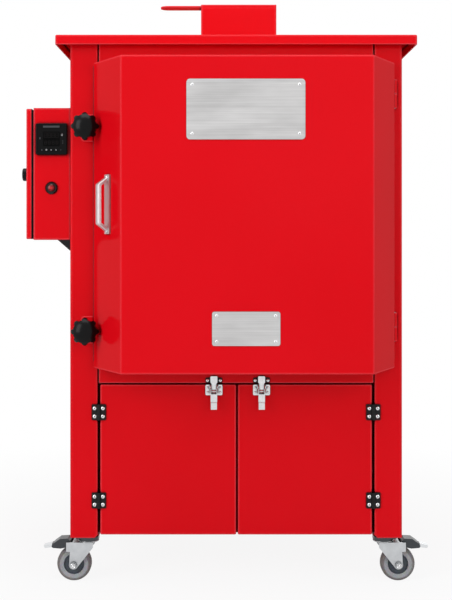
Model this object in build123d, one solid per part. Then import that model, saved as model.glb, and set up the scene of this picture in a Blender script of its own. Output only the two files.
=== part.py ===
from build123d import *
import math
import os

# A front-loading ceramic kiln: a brick-lined, electrically heated chamber over a
# cupboard, on castors, with a control box on its left side.
# Millimetres. X = 0 is the middle of the cabinet, Y = 0 the front of its posts
# with the front towards -Y, and Z = 0 the floor. The last lines move everything
# so that the origin is the middle of the bounding box's bottom.

os.makedirs("parts", exist_ok=True)

# Cabinet
WIDTH = 765
DEPTH = 760
CASTOR_HEIGHT = 110        # underside of the casing
CASING_TOP = 1261.5
SHEET = 2.5                # casing and roof
POST = 64                  # front flange of a side casing
BACK_FLANGE = 40
RETURN = 18                # edge of a casing flange, turned back in
BEND = 6                   # outer radius of a casing bend
FOLD = 0.7                 # inner radius of a tight fold
POST_CORNER = 7            # cut off the foot of each post
VENT = (6, 60)             # slots in the back panel
VENT_PITCH = 18
VENT_INSET = 70            # of their rows, from the deck and from the roof
BACK_EDGE = (12.5, 6, 22)  # of the back panel, from the casing's sides, foot and top
ROOF_OVERHANG = 30
ROOF_RIM = 22
SLIT = 2.5                 # between the front plate and a post
FLOOR_SHEET = 3
PAN_RISE = 8               # of the cupboard's floor above its side strips
PAN_RIM = 30
DECK_Z = 466.8             # underside of the deck that carries the lining
DECK_FLANGE = 25
MOUTH_EDGE = 20            # of the front plate's opening, round the chamber
MID_Z = 855                # middle of the chamber, its mouth and the door's plug
CABLE_HOLE = 16            # radius, from the control box into the casing
CABLE_AT = (330, 830)      # Y and Z of that hole

# Brick lining and heating
CHAMBER_HIGH = 500
CHAMBER_BACK = 520
LINING_SIDE = 120
WIRING = 42.5              # space between the lining and each side casing
LINING_BACK = 120
LINING_ROOF = 130
COURSES = 5
HEARTH_GAP = 1.5           # round the floor brick
GROOVE = (17, 18)          # height and depth of a groove for an element
ELEMENT = 6.5              # radius of a heating coil's envelope
TAIL = 3                   # radius of an element's tail
TAIL_FIT = 0.5
FLUE = (0, 262, 30)        # X, Y and radius of the flue
ROOF_FLUE = 45             # radius of its hole in the roof sheet
SHEATH = 4                 # radius of the thermocouple
SHEATH_AT = (60, 980)      # X and Z
SHEATH_FIT = 0.5
SHEATH_END = 40            # how far it comes into the chamber
SHEATH_FLANGE = (14, 8)    # radius and thickness
SHEATH_HEAD = (20, 32)     # radius and length

# Chimney and damper
CHIMNEY_X = (-84.8, 100.8)
CHIMNEY_Y = (187, 337)
CHIMNEY_HIGH = 109.5       # above the roof
CHIMNEY_SHEET = 2
CHIMNEY_LIP = 12
DAMPER_THICK = 4
DAMPER_FIT = (0.8, 0.3, 0.5)    # at each side, under and over the plate
DAMPER_TONGUE = (100, 40)  # length and width

# Main door
DOOR_Z = (504.7, 1199.9)
DOOR_BACK_INSET = (58.6, 22.3)  # from the cabinet's left and right sides
DOOR_FRONT_INSET = (130, 83.3)
DOOR_FRONT_Y = -152
DOOR_EDGE_Y = -30          # where the straight edge turns into the slope
DOOR_BACK_Y = -20
DOOR_SHEET = 2
FRAME_INSET = (55.6, 30.5)
FRAME_Z = (519.7, 1193.7)
FRAME_THICK = 6
PLUG_GAP = 6               # round the insulation that fills the chamber's mouth
PLUG_END = 35              # how far it goes in
PLUG_CORNER = 6
PLUG_FIT = 0.5             # round the plug in the door's back frame
BACKING = 9                # between the backing insulation and the slopes
GASKET = (10, 20)          # from the mouth to the rope, and the rope's width
GASKET_GAP = 0.8           # to the front plate
HINGE_INSET = 21.5         # of the door's hinge, from the cabinet's right side
HINGE_Y = -10
HINGE_BARREL = 8
HINGE_PIN = 4.5
HINGE_FIT = 0.05
HINGE_LENGTH = 65
HINGE_Z = (564.6, 1098.4)  # lower end of each hinge
HINGE_SPLIT = 0.5

# Door clamps
STUD_INSET = 42.5
CLAMP_Z = (591, 1052)
STUD = 6
STUD_FIT = 0.1             # in the lug
STUD_HOLE = 6.9            # in the post and its weld nut
NUT = (11, 14)             # radius, and Y of its end
LUG = (62, 28)             # height, and reach beyond the frame
WASHER = (14, 4)
WASHER_FIT = 0.3
KNOB_HUB = 13
KNOB_HEAD = (31.5, 26)     # radius and depth
KNOB_HEAD_Y = -60          # back of the head, in front of the door's slope
KNOB_LOBES = 8

# Door handle and plates
HANDLE_AT = 0.55           # along the slope from its rear edge
HANDLE_Z = 876
HANDLE_BASE = (132, 24, 4)
HANDLE_GRIP = (88, 15, 8)
HANDLE_RISE = 28           # outer face of the grip above the door
UPPER_PLATE = (258.3, 131.9, 20, 1081.75, 8)    # width, height, X, Z, corner
LOWER_PLATE = (148.2, 74.3, 20.7, 604.35, 5)
PLATE = 1.5

# Cupboard
CUP_INSET = 69.5           # of both doors, from the cabinet's sides
CUP_MEET = (0.25, 3.75)    # X of their edges where they meet
CUP_Z = (117.5, 463.5)
CUP_DEPTH = 18
CUP_SHEET = 2
CUP_HINGE_INSET = 66.75
CUP_HINGE_Y = -4
CUP_HINGE_Z = (179.1, 382.1)
CUP_HINGE_LENGTH = 35.5
CUP_LEAF = (15.9, 3)
KNUCKLE = 4
KNUCKLE_GAP = 0.3
CUP_PIN = 1.8
CUP_PIN_FIT = 0.07

# Toggle latches
LATCH_X = (-51, 58.5)
BASE_Z = (439, 463)
BASE_PLATE = (39, 2)
LEVER_PIVOT = (-11, 459)   # Y and Z
LEVER_HALF = 7.5           # half width
LEVER_Y = -17              # front of the lever
LEVER_Z = (425, 464)
LEVER_TIP = 408.5          # lower end of its thumb piece
LEVER_WALL = 1.2
LEVER_FRONT = 1.5
LEVER_PIN = 2
LEVER_WINDOW = 6           # of its lower edge, below the hook's pin
CHEEK = 1.5
CHEEK_GAP = 0.5
HOOK_PIVOT = (-6.2, 449)
HOOK_PIN = 1.5
HOOK_EYE = 3.5
HOOK_HALF = 5.5
HOOK_THICK = 2.5
CLAW_Z = (480.5, 483)
CLAW_HALF = 8
LATCH_FIT = 0.1            # round both pins
KEEPER = (38, 467.5, 479)  # width, lower and upper edge
RIDGE = (14, 4.5, 479.2)   # width, reach and top

# Control box
BOX_DEEP = 85              # out from the side casing
BOX_Y = (8, 388)
BOX_Z = (796, 1101)
BOX_SHEET = 1.5
BOX_RIM = 12
LID = (102, 90)            # of its outer face and its rim, from the side casing
LID_INSET = 2              # at its top and bottom, from the box's
LID_BARREL = 4
LID_PIN = 2
LID_FIT = 0.08
LID_HINGE = (87.5, 392)    # from the side casing, and Y
LID_HINGE_Z = (835, 1002)
LID_HINGE_LENGTH = 60
LID_GASKET = (4, 9.5)      # from the box's edge to the rope, and the rope's width
LID_GASKET_OUT = (100.5, 85.3)
LOCK_AT = (36, 948)        # Y and Z
LOCK_KNOB = (15, 12)
LOCK_SHAFT = 4
LOCK_FIT = 0.1
LOCK_TONGUE = (22, 8, 2)
LOCK_TONGUE_OUT = 82.5
PANEL_OUT = 43.1           # middle of the controller, from the side casing
PANEL_DROP = 72.4          # its middle below the top of the box
BEZEL = (72, 8)            # size and thickness
CUTOUT = 68
MODULE = (66, 60)          # body behind the panel
KEYS_X = (-11.3, -0.2, 10.9)   # from the middle of the controller
KEY_DROP = 25.2
KEY = (7.6, 5.4)
KEY_OUT = 0.7
KEY_TRAVEL = 0.6
KEY_FIT = 0.2
LAMP_OUT = 43.5
LAMP_DROP = 112.6          # its middle below the controller's
LAMP_BEZEL = 14
LAMP_LENS = 8.9
LAMP_HOLE = 11.2
LAMP_FIT = 0.2
GLAND = (42.5, 850)        # on the rear wall: from the side casing, and Z
GLAND_BORE = 5
GLAND_THREAD = 8
GLAND_FIT = 0.2
GUSSET = (29.5, 24, 3)
RAIL = (110, 350, 955, 990)    # limits in Y and in Z
CONTACTOR = (120, 176, 930, 1015, 57)    # limits in Y and Z, and depth
RELAY = (186, 208, 935, 1010, 50)
TERMINAL = (222, 13, 948, 997, 35)       # first Y, width, limits in Z, and depth
TERMINAL_PITCH = 14
RAIL_HEIGHT = 5

# Castors
CASTOR_INSET = 37.5
CASTOR_Y = (50, 705)
WHEEL_ROOM = 30            # from the top of a wheel to the casing
WHEEL_WIDE = 30
WHEEL_CORE = 24.5
TRAIL = 33
AXLE = 4
AXLE_FIT = 0.1
PLATE_SIZE = (52, 88, 4)
CUP = (25, 8)              # radius, and depth under the plate
KINGPIN = 6
KINGPIN_FIT = 0.1
CROWN = (24, 14, 8.5)      # radius of the swivel disc, and its faces under the plate
LEG = 3
LEG_IN = 19.5              # inner face of a fork leg
PEDAL_AT = (46, 24)        # trail of the pedal's pivot, and its drop from the casing
PEDAL_HALF = 17
PEDAL_PIN = 2.5
PEDAL_FIT = 0.1

LOW = (Align.CENTER, Align.CENTER, Align.MIN)
nodes = {}


def block(x, y, z):
    """A block between two limits along each axis."""
    at = [(a + b) / 2 for a, b in (x, y, z)]
    return Pos(*at) * Box(*[abs(b - a) for a, b in (x, y, z)])


def bar(start, end, radius):
    """A round bar from one point to another."""
    run = Vector(*end) - Vector(*start)
    return Plane(origin=start, z_dir=run) * Cylinder(radius, run.length, align=LOW)


def prism(plane, points, depth):
    """A polygon on a plane, extruded along the plane's normal."""
    return extrude(plane * make_face(Polyline(*points, close=True)), amount=depth)


def along_x(x, points):
    """A polygon of (Y, Z) points between two X limits."""
    plane = Plane(origin=(min(x), 0, 0), x_dir=(0, 1, 0), z_dir=(1, 0, 0))
    return prism(plane, points, abs(x[1] - x[0]))


def along_y(y, points):
    """A polygon of (X, Z) points between two Y limits."""
    plane = Plane(origin=(0, max(y), 0), x_dir=(1, 0, 0), z_dir=(0, -1, 0))
    return prism(plane, points, abs(y[1] - y[0]))


def along_z(z, points):
    """A polygon of (X, Y) points between two Z limits."""
    return prism(Plane(origin=(0, 0, min(z))), points, abs(z[1] - z[0]))


def plate_y(y, size, at, corner):
    """A plate across Y with rounded corners; at is the X and Z of its middle."""
    plane = Plane(origin=(at[0], max(y), at[1]), x_dir=(1, 0, 0), z_dir=(0, -1, 0))
    return extrude(plane * RectangleRounded(*size, corner), amount=abs(y[1] - y[0]))


def upright(shape):
    """The edges of a shape that run along Z."""
    return shape.edges().filter_by(Axis.Z)


def other_side(shape):
    return mirror(shape, about=Plane.YZ)


# Side casings: one folded sheet each, whose front flange is the visible post.
half = WIDTH / 2
post_in = half - POST
back_in = half - BACK_FLANGE
skin = FilletPolyline(
    (-post_in, RETURN),
    (-post_in, 0),
    (-half, 0),
    (-half, DEPTH),
    (-back_in, DEPTH),
    (-back_in, DEPTH - RETURN),
    radius=[SHEET + 1, BEND, BEND, SHEET + 1],
)
casing = extrude(
    make_face(offset(skin, amount=SHEET, side=Side.RIGHT)),
    amount=CASING_TOP - CASTOR_HEIGHT,
)
casing = Pos(0, 0, CASTOR_HEIGHT) * casing
casing -= along_y(
    (-1, RETURN + 1),
    [
        (-post_in - POST_CORNER, CASTOR_HEIGHT - 0.01),
        (-post_in + 1, CASTOR_HEIGHT - 0.01),
        (-post_in + 1, CASTOR_HEIGHT + POST_CORNER + 1),
    ],
)
left, right = casing, other_side(casing)
stud_x = -half + STUD_INSET
for z in CLAMP_Z:
    left += bar((stud_x, SHEET, z), (stud_x, NUT[1], z), NUT[0])
    left -= bar((stud_x, -1, z), (stud_x, NUT[1] + 1, z), STUD_HOLE)
left -= bar((-half - 1, *CABLE_AT), (-half + SHEET + 1, *CABLE_AT), CABLE_HOLE)
hinge_x, hinge_y = half - HINGE_INSET, HINGE_Y
hinge = (hinge_x, hinge_y)
for z in HINGE_Z:
    low_half = z + (HINGE_LENGTH - HINGE_SPLIT) / 2
    right += bar((*hinge, z), (*hinge, low_half), HINGE_BARREL)
    right += block((hinge_x - 4, hinge_x + 4), (hinge_y + 4, 0), (z, low_half))
    right -= bar((*hinge, z - 1), (*hinge, low_half + 1), HINGE_PIN + HINGE_FIT)
nodes["side_casing_left"] = left
nodes["side_casing_right"] = right
nodes["door_hinge_pins"] = Compound(
    children=[
        chamfer(
            bar((*hinge, z - 1), (*hinge, z + HINGE_LENGTH + 1), HINGE_PIN).edges(), 0.8
        )
        for z in HINGE_Z
    ]
)

# Front plate round the chamber's mouth, with its edges turned back.
chamber = (WIDTH - 2 * (WIRING + LINING_SIDE), CHAMBER_HIGH)
mouth = [v + 2 * MOUTH_EDGE for v in chamber]
plate_half = post_in - SLIT
front_top = CASING_TOP - SHEET
front = block((-plate_half, plate_half), (0, 15), (DECK_Z, front_top))
front = fillet(front.edges().filter_by(Axis.Z).group_by(Axis.Y)[0], 2)
front -= block(
    (-plate_half + SHEET, plate_half - SHEET), (SHEET, 16), (DECK_Z - 1, front_top - SHEET)
)
front -= plate_y((-1, SHEET + 1), mouth, (0, MID_Z), 12)
nodes["front_plate"] = front

# Deck under the lining, with side flanges, and the floor of the cupboard.
inner = half - SHEET
tongue_half = plate_half - SHEET
deep = (RETURN + 0.5, DEPTH - RETURN - 0.5)
deck_top = DECK_Z + FLOOR_SHEET
deck = block((-inner, inner), deep, (DECK_Z, deck_top))
deck += block((-tongue_half, tongue_half), (SHEET, deep[0]), (DECK_Z, deck_top))
for side in (-inner, inner - FLOOR_SHEET):
    deck += block((side, side + FLOOR_SHEET), deep, (DECK_Z - DECK_FLANGE, DECK_Z))
nodes["kiln_deck"] = deck

strip_top = CASTOR_HEIGHT + FLOOR_SHEET
pan_low = CASTOR_HEIGHT + PAN_RISE
floor_top = pan_low + FLOOR_SHEET
step_x = post_in - SHEET + 5       # joggle between the pan and a strip
floor = block((-step_x, step_x), (CUP_DEPTH + 2, deep[1]), (pan_low, floor_top))
for side in (-1, 1):
    strip = (side * (step_x - FLOOR_SHEET), side * inner)
    floor += block(strip, deep, (CASTOR_HEIGHT, strip_top))
    joggle = (side * (step_x - FLOOR_SHEET), side * step_x)
    floor += block(joggle, deep, (CASTOR_HEIGHT, floor_top))
    rim = (side * (inner - FLOOR_SHEET), side * inner)
    floor += block(rim, deep, (CASTOR_HEIGHT, strip_top + PAN_RIM))
floor += block((-step_x, step_x), (deep[1] - FLOOR_SHEET, deep[1]), (pan_low, pan_low + PAN_RIM))
nodes["cupboard_floor"] = floor

# Back panel, fixed on the rear flanges, with two rows of vents.
back_z = (CASTOR_HEIGHT + BACK_EDGE[1], CASING_TOP - BACK_EDGE[2])
back_size = (WIDTH - 2 * BACK_EDGE[0], back_z[1] - back_z[0])
back = plate_y((DEPTH, DEPTH + SHEET), back_size, (0, sum(back_z) / 2), 4)
slot = plate_y((DEPTH - 1, DEPTH + SHEET + 1), VENT, (0, 0), VENT[0] / 2 - 0.1)
for z in (DECK_Z + VENT_INSET, CASING_TOP - VENT_INSET):
    for i in range(-8, 9):
        back -= Pos(VENT_PITCH * i, 0, z) * slot
nodes["back_panel"] = back

# Roof: an upturned tray that overhangs the casing all round.
roof_x = half + ROOF_OVERHANG
roof_top = CASING_TOP + SHEET
roof = block(
    (-roof_x, roof_x), (-ROOF_OVERHANG, DEPTH + ROOF_OVERHANG), (roof_top - ROOF_RIM, roof_top)
)
roof = fillet(upright(roof), 4)
roof = fillet(roof.faces().sort_by(Axis.Z)[-1].edges(), SHEET + FOLD)
roof -= block(
    (-roof_x + SHEET, roof_x - SHEET),
    (-ROOF_OVERHANG + SHEET, DEPTH + ROOF_OVERHANG - SHEET),
    (roof_top - ROOF_RIM - 1, CASING_TOP),
)
flue_x, flue_y, flue_r = FLUE
roof -= bar((flue_x, flue_y, CASING_TOP - 1), (flue_x, flue_y, roof_top + 1), ROOF_FLUE)
nodes["roof_tray"] = roof

# Lining: a floor between the walls, sides in grooved courses over a plain one,
# back and roof, notched round the returns of the posts and of the front plate.
cham_x = chamber[0] / 2
cham_low, cham_top = MID_Z - chamber[1] / 2, MID_Z + chamber[1] / 2
lin_x = cham_x + LINING_SIDE
lin_back = CHAMBER_BACK + LINING_BACK
notches = [
    block(span, (0, RETURN + 1), (DECK_Z, CASING_TOP))
    for span in ((-lin_x - 1, -tongue_half + 1), (tongue_half - 1, lin_x + 1))
]
hearth_x = cham_x - HEARTH_GAP
nodes["lining_floor"] = block(
    (-hearth_x, hearth_x), (SHEET, CHAMBER_BACK - HEARTH_GAP), (deck_top, cham_low)
)
lining_roof = block(
    (-lin_x, lin_x), (SHEET, lin_back), (cham_top, cham_top + LINING_ROOF)
) - notches
lining_roof -= bar(
    (flue_x, flue_y, cham_top - 1), (flue_x, flue_y, cham_top + LINING_ROOF + 1), flue_r
)
nodes["lining_roof"] = lining_roof

course = chamber[1] / COURSES
groove_floors = [cham_low + course * i + 42 for i in range(COURSES)]
courses = [block((cham_x, lin_x), (SHEET, CHAMBER_BACK), (deck_top, cham_low)) - notches]
for i, groove_z in enumerate(groove_floors):
    brick = block(
        (cham_x, lin_x), (SHEET, CHAMBER_BACK), (cham_low + course * i, cham_low + course * (i + 1))
    )
    brick -= block(
        (cham_x - 1, cham_x + GROOVE[1]), (20, CHAMBER_BACK + 1), (groove_z, groove_z + GROOVE[0])
    )
    courses.append(brick - notches)
nodes["lining_right"] = Compound(children=courses)
nodes["lining_left"] = Compound(children=[other_side(c) for c in courses])

# Heating elements lie in the grooves; their tails go out through the back wall.
elements, tails = [], []
for side in (-1, 1):
    x = side * (cham_x + GROOVE[1] / 2)
    for groove_z in groove_floors:
        z = groove_z + ELEMENT
        rod = bar((x, 26, z), (x, CHAMBER_BACK - 8, z), ELEMENT)
        rod += bar((x, CHAMBER_BACK - 9, z), (x, lin_back + 30, z), TAIL)
        elements.append(rod)
        tails.append(
            bar((x, CHAMBER_BACK - 1, z), (x, lin_back + 1, z), TAIL + TAIL_FIT)
        )
nodes["heating_elements"] = Compound(children=elements)

sheath_x, sheath_z = SHEATH_AT
lining_back = block((-lin_x, lin_x), (CHAMBER_BACK, lin_back), (deck_top, cham_top))
lining_back -= tails
lining_back -= bar(
    (sheath_x, CHAMBER_BACK - 1, sheath_z), (sheath_x, lin_back + 1, sheath_z), SHEATH + SHEATH_FIT
)
nodes["lining_back"] = lining_back
thermocouple = bar(
    (sheath_x, CHAMBER_BACK - SHEATH_END, sheath_z), (sheath_x, lin_back + 2, sheath_z), SHEATH
)
thermocouple = fillet(thermocouple.edges().sort_by(Axis.Y)[0], SHEATH / 2)
y = lin_back
for radius, length in (SHEATH_FLANGE, SHEATH_HEAD):
    thermocouple += bar((sheath_x, y, sheath_z), (sheath_x, y + length, sheath_z), radius)
    y += length
nodes["thermocouple"] = thermocouple

# Chimney: a sheet housing round the flue. The damper rides on its ledges, under
# its lips, and comes out over its lowered left wall.
chim_low = roof_top
chim_top = roof_top + CHIMNEY_HIGH
cx, cy, ct = CHIMNEY_X, CHIMNEY_Y, CHIMNEY_SHEET
lip_low = chim_top - ct
damper_top = lip_low - DAMPER_FIT[2]
damper_low = damper_top - DAMPER_THICK
ledge_top = damper_low - DAMPER_FIT[1]
chimney = fillet(upright(block(cx, cy, (chim_low, chim_top))), 3)
chimney -= block(
    (cx[0] + ct, cx[1] - ct), (cy[0] + ct, cy[1] - ct), (chim_low - 1, lip_low)
)
for near, far in ((cy[0] + 1, cy[0] + CHIMNEY_LIP), (cy[1] - CHIMNEY_LIP, cy[1] - 1)):
    for level in (chim_low, ledge_top - ct):
        chimney += block((cx[0] + 1, cx[1] - 1), (near, far), (level, level + ct))
chimney -= block(
    (cx[0] - 1, cx[0] + ct + 2), (cy[0] + ct, cy[1] - ct), (ledge_top, lip_low)
)
chimney -= block(
    (cx[0] - 1, cx[1] - CHIMNEY_LIP),
    (cy[0] + CHIMNEY_LIP, cy[1] - CHIMNEY_LIP),
    (lip_low - 1, chim_top + 1),
)
nodes["chimney"] = chimney

damper_y = (cy[0] + ct + DAMPER_FIT[0], cy[1] - ct - DAMPER_FIT[0])
damper_z = (damper_low, damper_top)
damper = block((cx[0], cx[1] - ct - 1), damper_y, damper_z)
tongue = block(
    (cx[0] - DAMPER_TONGUE[0], cx[0] + 1), (damper_y[0], damper_y[0] + DAMPER_TONGUE[1]), damper_z
)
tongue = fillet(upright(tongue).group_by(Axis.X)[0], DAMPER_TONGUE[1] / 2 - 0.5)
nodes["chimney_damper"] = damper + tongue

# Main door: a deep pressed shell with sloping sides, open at the back.
door_back = (-half + DOOR_BACK_INSET[0], half - DOOR_BACK_INSET[1])
door_front = (-half + DOOR_FRONT_INSET[0], half - DOOR_FRONT_INSET[1])
frame_x = (-half + FRAME_INSET[0], half - FRAME_INSET[1])
door_plan = make_face(
    Polyline(
        (door_back[0], DOOR_BACK_Y),
        (door_back[0], DOOR_EDGE_Y),
        (door_front[0], DOOR_FRONT_Y),
        (door_front[1], DOOR_FRONT_Y),
        (door_back[1], DOOR_EDGE_Y),
        (door_back[1], DOOR_BACK_Y),
        close=True,
    )
)
door_high = DOOR_Z[1] - DOOR_Z[0]
shell = Pos(0, 0, DOOR_Z[0]) * extrude(door_plan, amount=door_high)
shell = fillet([e for e in upright(shell) if e.center().Y < DOOR_BACK_Y - 1], DOOR_SHEET + 1.5)
ends = [
    edge
    for face in (shell.faces().sort_by(Axis.Z)[0], shell.faces().sort_by(Axis.Z)[-1])
    for edge in face.edges()
    if edge.center().Y < DOOR_BACK_Y - 0.5
]
shell = fillet(ends, DOOR_SHEET + FOLD)
shell -= Pos(0, 0, DOOR_Z[0] + DOOR_SHEET) * extrude(
    offset(door_plan, amount=-DOOR_SHEET, kind=Kind.INTERSECTION), amount=door_high - 2 * DOOR_SHEET
)
shell -= block(
    (door_back[0] + DOOR_SHEET, door_back[1] - DOOR_SHEET),
    (DOOR_BACK_Y - DOOR_SHEET - 0.5, DOOR_BACK_Y + 1),
    (DOOR_Z[0] + DOOR_SHEET, DOOR_Z[1] - DOOR_SHEET),
)
nodes["door_shell"] = shell

# The frame that closes the shell's back carries the clamp lugs and, welded to
# its right edge, the upper halves of the hinges.
frame_y = (DOOR_BACK_Y, DOOR_BACK_Y + FRAME_THICK)
frame = block(frame_x, frame_y, FRAME_Z)
for z in CLAMP_Z:
    lug = block(
        (frame_x[0] - LUG[1], frame_x[0] + 5), frame_y, (z - LUG[0] / 2, z + LUG[0] / 2)
    )
    lug = fillet(lug.edges().filter_by(Axis.Y).group_by(Axis.X)[0], 8)
    frame += lug
    frame -= bar((stud_x, -40, z), (stud_x, 0, z), STUD + STUD_FIT)
plug_size = [v - 2 * PLUG_GAP for v in chamber]
plug_hole = [v + 2 * PLUG_FIT for v in plug_size]
frame -= plate_y((-40, 0), plug_hole, (0, MID_Z), PLUG_CORNER + PLUG_FIT)
for z in HINGE_Z:
    top = z + HINGE_LENGTH
    start = z + (HINGE_LENGTH + HINGE_SPLIT) / 2
    frame += bar((*hinge, start), (*hinge, top), HINGE_BARREL)
    frame += block((frame_x[1] - 4, hinge_x), (hinge_y - 8, hinge_y - 4), (start, top))
    frame -= bar((*hinge, start - 1), (*hinge, top + 1), HINGE_PIN + HINGE_FIT)
nodes["door_back_frame"] = frame

front_in = DOOR_FRONT_Y + DOOR_SHEET
backing = block(
    (door_front[0] + BACKING, door_front[1] - BACKING),
    (front_in, DOOR_BACK_Y),
    (DOOR_Z[0] + BACKING, DOOR_Z[1] - BACKING),
)
plug = plate_y((DOOR_BACK_Y, PLUG_END), plug_size, (0, MID_Z), PLUG_CORNER)
plug = chamfer(plug.faces().sort_by(Axis.Y)[-1].edges(), 4)
nodes["door_insulation"] = backing + plug

gasket_y = (frame_y[1], -GASKET_GAP)
gasket_in = [v + 2 * GASKET[0] for v in mouth]
gasket_out = [v + 2 * GASKET[1] for v in gasket_in]
rope = plate_y(gasket_y, gasket_out, (0, MID_Z), 14)
rope = fillet(rope.faces().sort_by(Axis.Y)[-1].edges(), 4)
nodes["door_gasket"] = rope - plate_y((-40, 10), gasket_in, (0, MID_Z), 6)

# Clamps: a washer on each lug, and a star knob whose stud screws into the post.
star = Circle(26.3)
for i in range(KNOB_LOBES):
    angle = math.radians(360 / KNOB_LOBES * i)
    star += Pos(25.3 * math.cos(angle), 25.3 * math.sin(angle)) * Circle(6.2)
head_r, head_deep = KNOB_HEAD
dome = make_face(
    Polyline((0, 0), (0, head_deep))
    + ThreePointArc((0, head_deep), (20, head_deep - 5), (head_r + 0.5, 9))
    + Polyline((head_r + 0.5, 9), (head_r + 0.5, 3), (head_r - 3, 0), (0, 0))
)
dome = revolve(Plane.XZ * dome, axis=Axis.Z)
head = extrude(star, amount=head_deep) & dome
washer_y = (DOOR_BACK_Y - WASHER[1], DOOR_BACK_Y)
for name, z in zip(("lower", "upper"), CLAMP_Z):
    washer = bar((stud_x, washer_y[0], z), (stud_x, washer_y[1], z), WASHER[0])
    washer = chamfer(washer.edges().group_by(Axis.Y)[0], 0.8)
    washer -= bar((stud_x, -40, z), (stud_x, 0, z), STUD + WASHER_FIT)
    nodes[f"clamp_washer_{name}"] = washer
    knob = Plane(origin=(stud_x, KNOB_HEAD_Y, z), x_dir=(1, 0, 0), z_dir=(0, -1, 0)) * head
    knob += bar((stud_x, KNOB_HEAD_Y - 1, z), (stud_x, washer_y[0], z), KNOB_HUB)
    stud = bar((stud_x, washer_y[0] - 1, z), (stud_x, 12, z), STUD)
    knob += chamfer(stud.edges().group_by(Axis.Y)[-1], 1.5)
    nodes[f"clamp_knob_{name}"] = knob

# Door handle on the left slope: a strip and a folded bow welded to it.
slope = Vector(door_front[0] - door_back[0], DOOR_FRONT_Y - DOOR_EDGE_Y)
slope_out = Vector(slope.Y, -slope.X).normalized()
handle_xy = Vector(door_back[0], DOOR_EDGE_Y) + slope * HANDLE_AT
handle_plane = Plane(
    origin=(handle_xy.X, handle_xy.Y, HANDLE_Z), x_dir=(0, 0, 1), z_dir=(slope_out.X, slope_out.Y, 0)
)
strip = extrude(RectangleRounded(*HANDLE_BASE[:2], 3), amount=HANDLE_BASE[2])
base_top, rise, grip_half = HANDLE_BASE[2], HANDLE_RISE, HANDLE_GRIP[0] / 2
grip_in = rise - HANDLE_GRIP[2]
bow = prism(
    Plane(origin=(0, HANDLE_GRIP[1] / 2, 0), x_dir=(1, 0, 0), z_dir=(0, -1, 0)),
    [
        (-grip_half - 18, base_top - 0.5),
        (-grip_half, rise),
        (grip_half, rise),
        (grip_half + 18, base_top - 0.5),
        (grip_half + 9, base_top - 0.5),
        (grip_half - 3, grip_in),
        (-grip_half + 3, grip_in),
        (-grip_half - 9, base_top - 0.5),
    ],
    HANDLE_GRIP[1],
)
bow = fillet(bow.edges().filter_by(Axis.Y).group_by(Axis.Z)[-1], 6)
bow = fillet(bow.edges().filter_by(Axis.X).group_by(Axis.Z)[-1], 2.5)
nodes["door_handle"] = handle_plane * (strip + bow)

plates = []
for wide, high, x, z, corner in (UPPER_PLATE, LOWER_PLATE):
    plates.append(
        plate_y((DOOR_FRONT_Y - PLATE, DOOR_FRONT_Y), (wide, high), (x, z), corner)
    )
nodes["nameplates"] = Compound(children=plates)

# Cupboard doors: trays with their rims turned back.
cup_side = half - CUP_INSET
for name, x in (("left", (-cup_side, CUP_MEET[0])), ("right", (CUP_MEET[1], cup_side))):
    panel = block(x, (0, CUP_DEPTH), CUP_Z)
    panel = fillet(panel.edges().filter_by(Axis.Y), CUP_SHEET + 1.5)
    panel = fillet(panel.faces().sort_by(Axis.Y)[0].edges(), CUP_SHEET + FOLD)
    panel -= block(
        (x[0] + CUP_SHEET, x[1] - CUP_SHEET),
        (CUP_SHEET, CUP_DEPTH + 1),
        (CUP_Z[0] + CUP_SHEET, CUP_Z[1] - CUP_SHEET),
    )
    nodes[f"cupboard_door_{name}"] = panel

# Their hinges: a leaf on the post with the middle knuckle and the pin, and a
# leaf on the door with the outer knuckles.
def cupboard_hinge(z):
    """The fixed and the moving leaf of the left door's hinge whose foot is at z."""
    ax, ay = -half + CUP_HINGE_INSET, CUP_HINGE_Y
    third = CUP_HINGE_LENGTH / 3
    half_gap = KNUCKLE_GAP / 2
    cuts = [z, z + third, z + 2 * third, z + 3 * third]
    spans = [
        (cuts[0], cuts[1] - half_gap),
        (cuts[1] + half_gap, cuts[2] - half_gap),
        (cuts[2] + half_gap, cuts[3]),
    ]
    leaf_y = (-CUP_LEAF[1], 0)
    fixed = block((ax - CUP_LEAF[0], ax), leaf_y, (z, z + CUP_HINGE_LENGTH))
    moving = block((ax, ax + CUP_LEAF[0]), leaf_y, (z, z + CUP_HINGE_LENGTH))
    for i, (low, high) in enumerate(spans):
        knuckle = bar((ax, ay, low), (ax, ay, high), KNUCKLE)
        around = bar(
            (ax, ay, low - KNUCKLE_GAP), (ax, ay, high + KNUCKLE_GAP), KNUCKLE + KNUCKLE_GAP
        )
        if i == 1:
            fixed, moving = fixed + knuckle, moving - around
        else:
            fixed, moving = fixed - around, moving + knuckle
    moving -= bar((ax, ay, z - 1), (ax, ay, z + CUP_HINGE_LENGTH + 1), CUP_PIN + CUP_PIN_FIT)
    fixed += bar((ax, ay, z - 0.5), (ax, ay, z + CUP_HINGE_LENGTH + 0.5), CUP_PIN)
    return fixed, moving


hinges = [cupboard_hinge(z) for z in CUP_HINGE_Z]
fixed_leaves = [fixed for fixed, _ in hinges]
moving_leaves = [moving for _, moving in hinges]
nodes["cupboard_hinge_plates"] = Compound(
    children=fixed_leaves + [other_side(leaf) for leaf in fixed_leaves]
)
nodes["cupboard_hinge_leaves_left"] = Compound(children=moving_leaves)
nodes["cupboard_hinge_leaves_right"] = Compound(
    children=[other_side(leaf) for leaf in moving_leaves]
)

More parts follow.
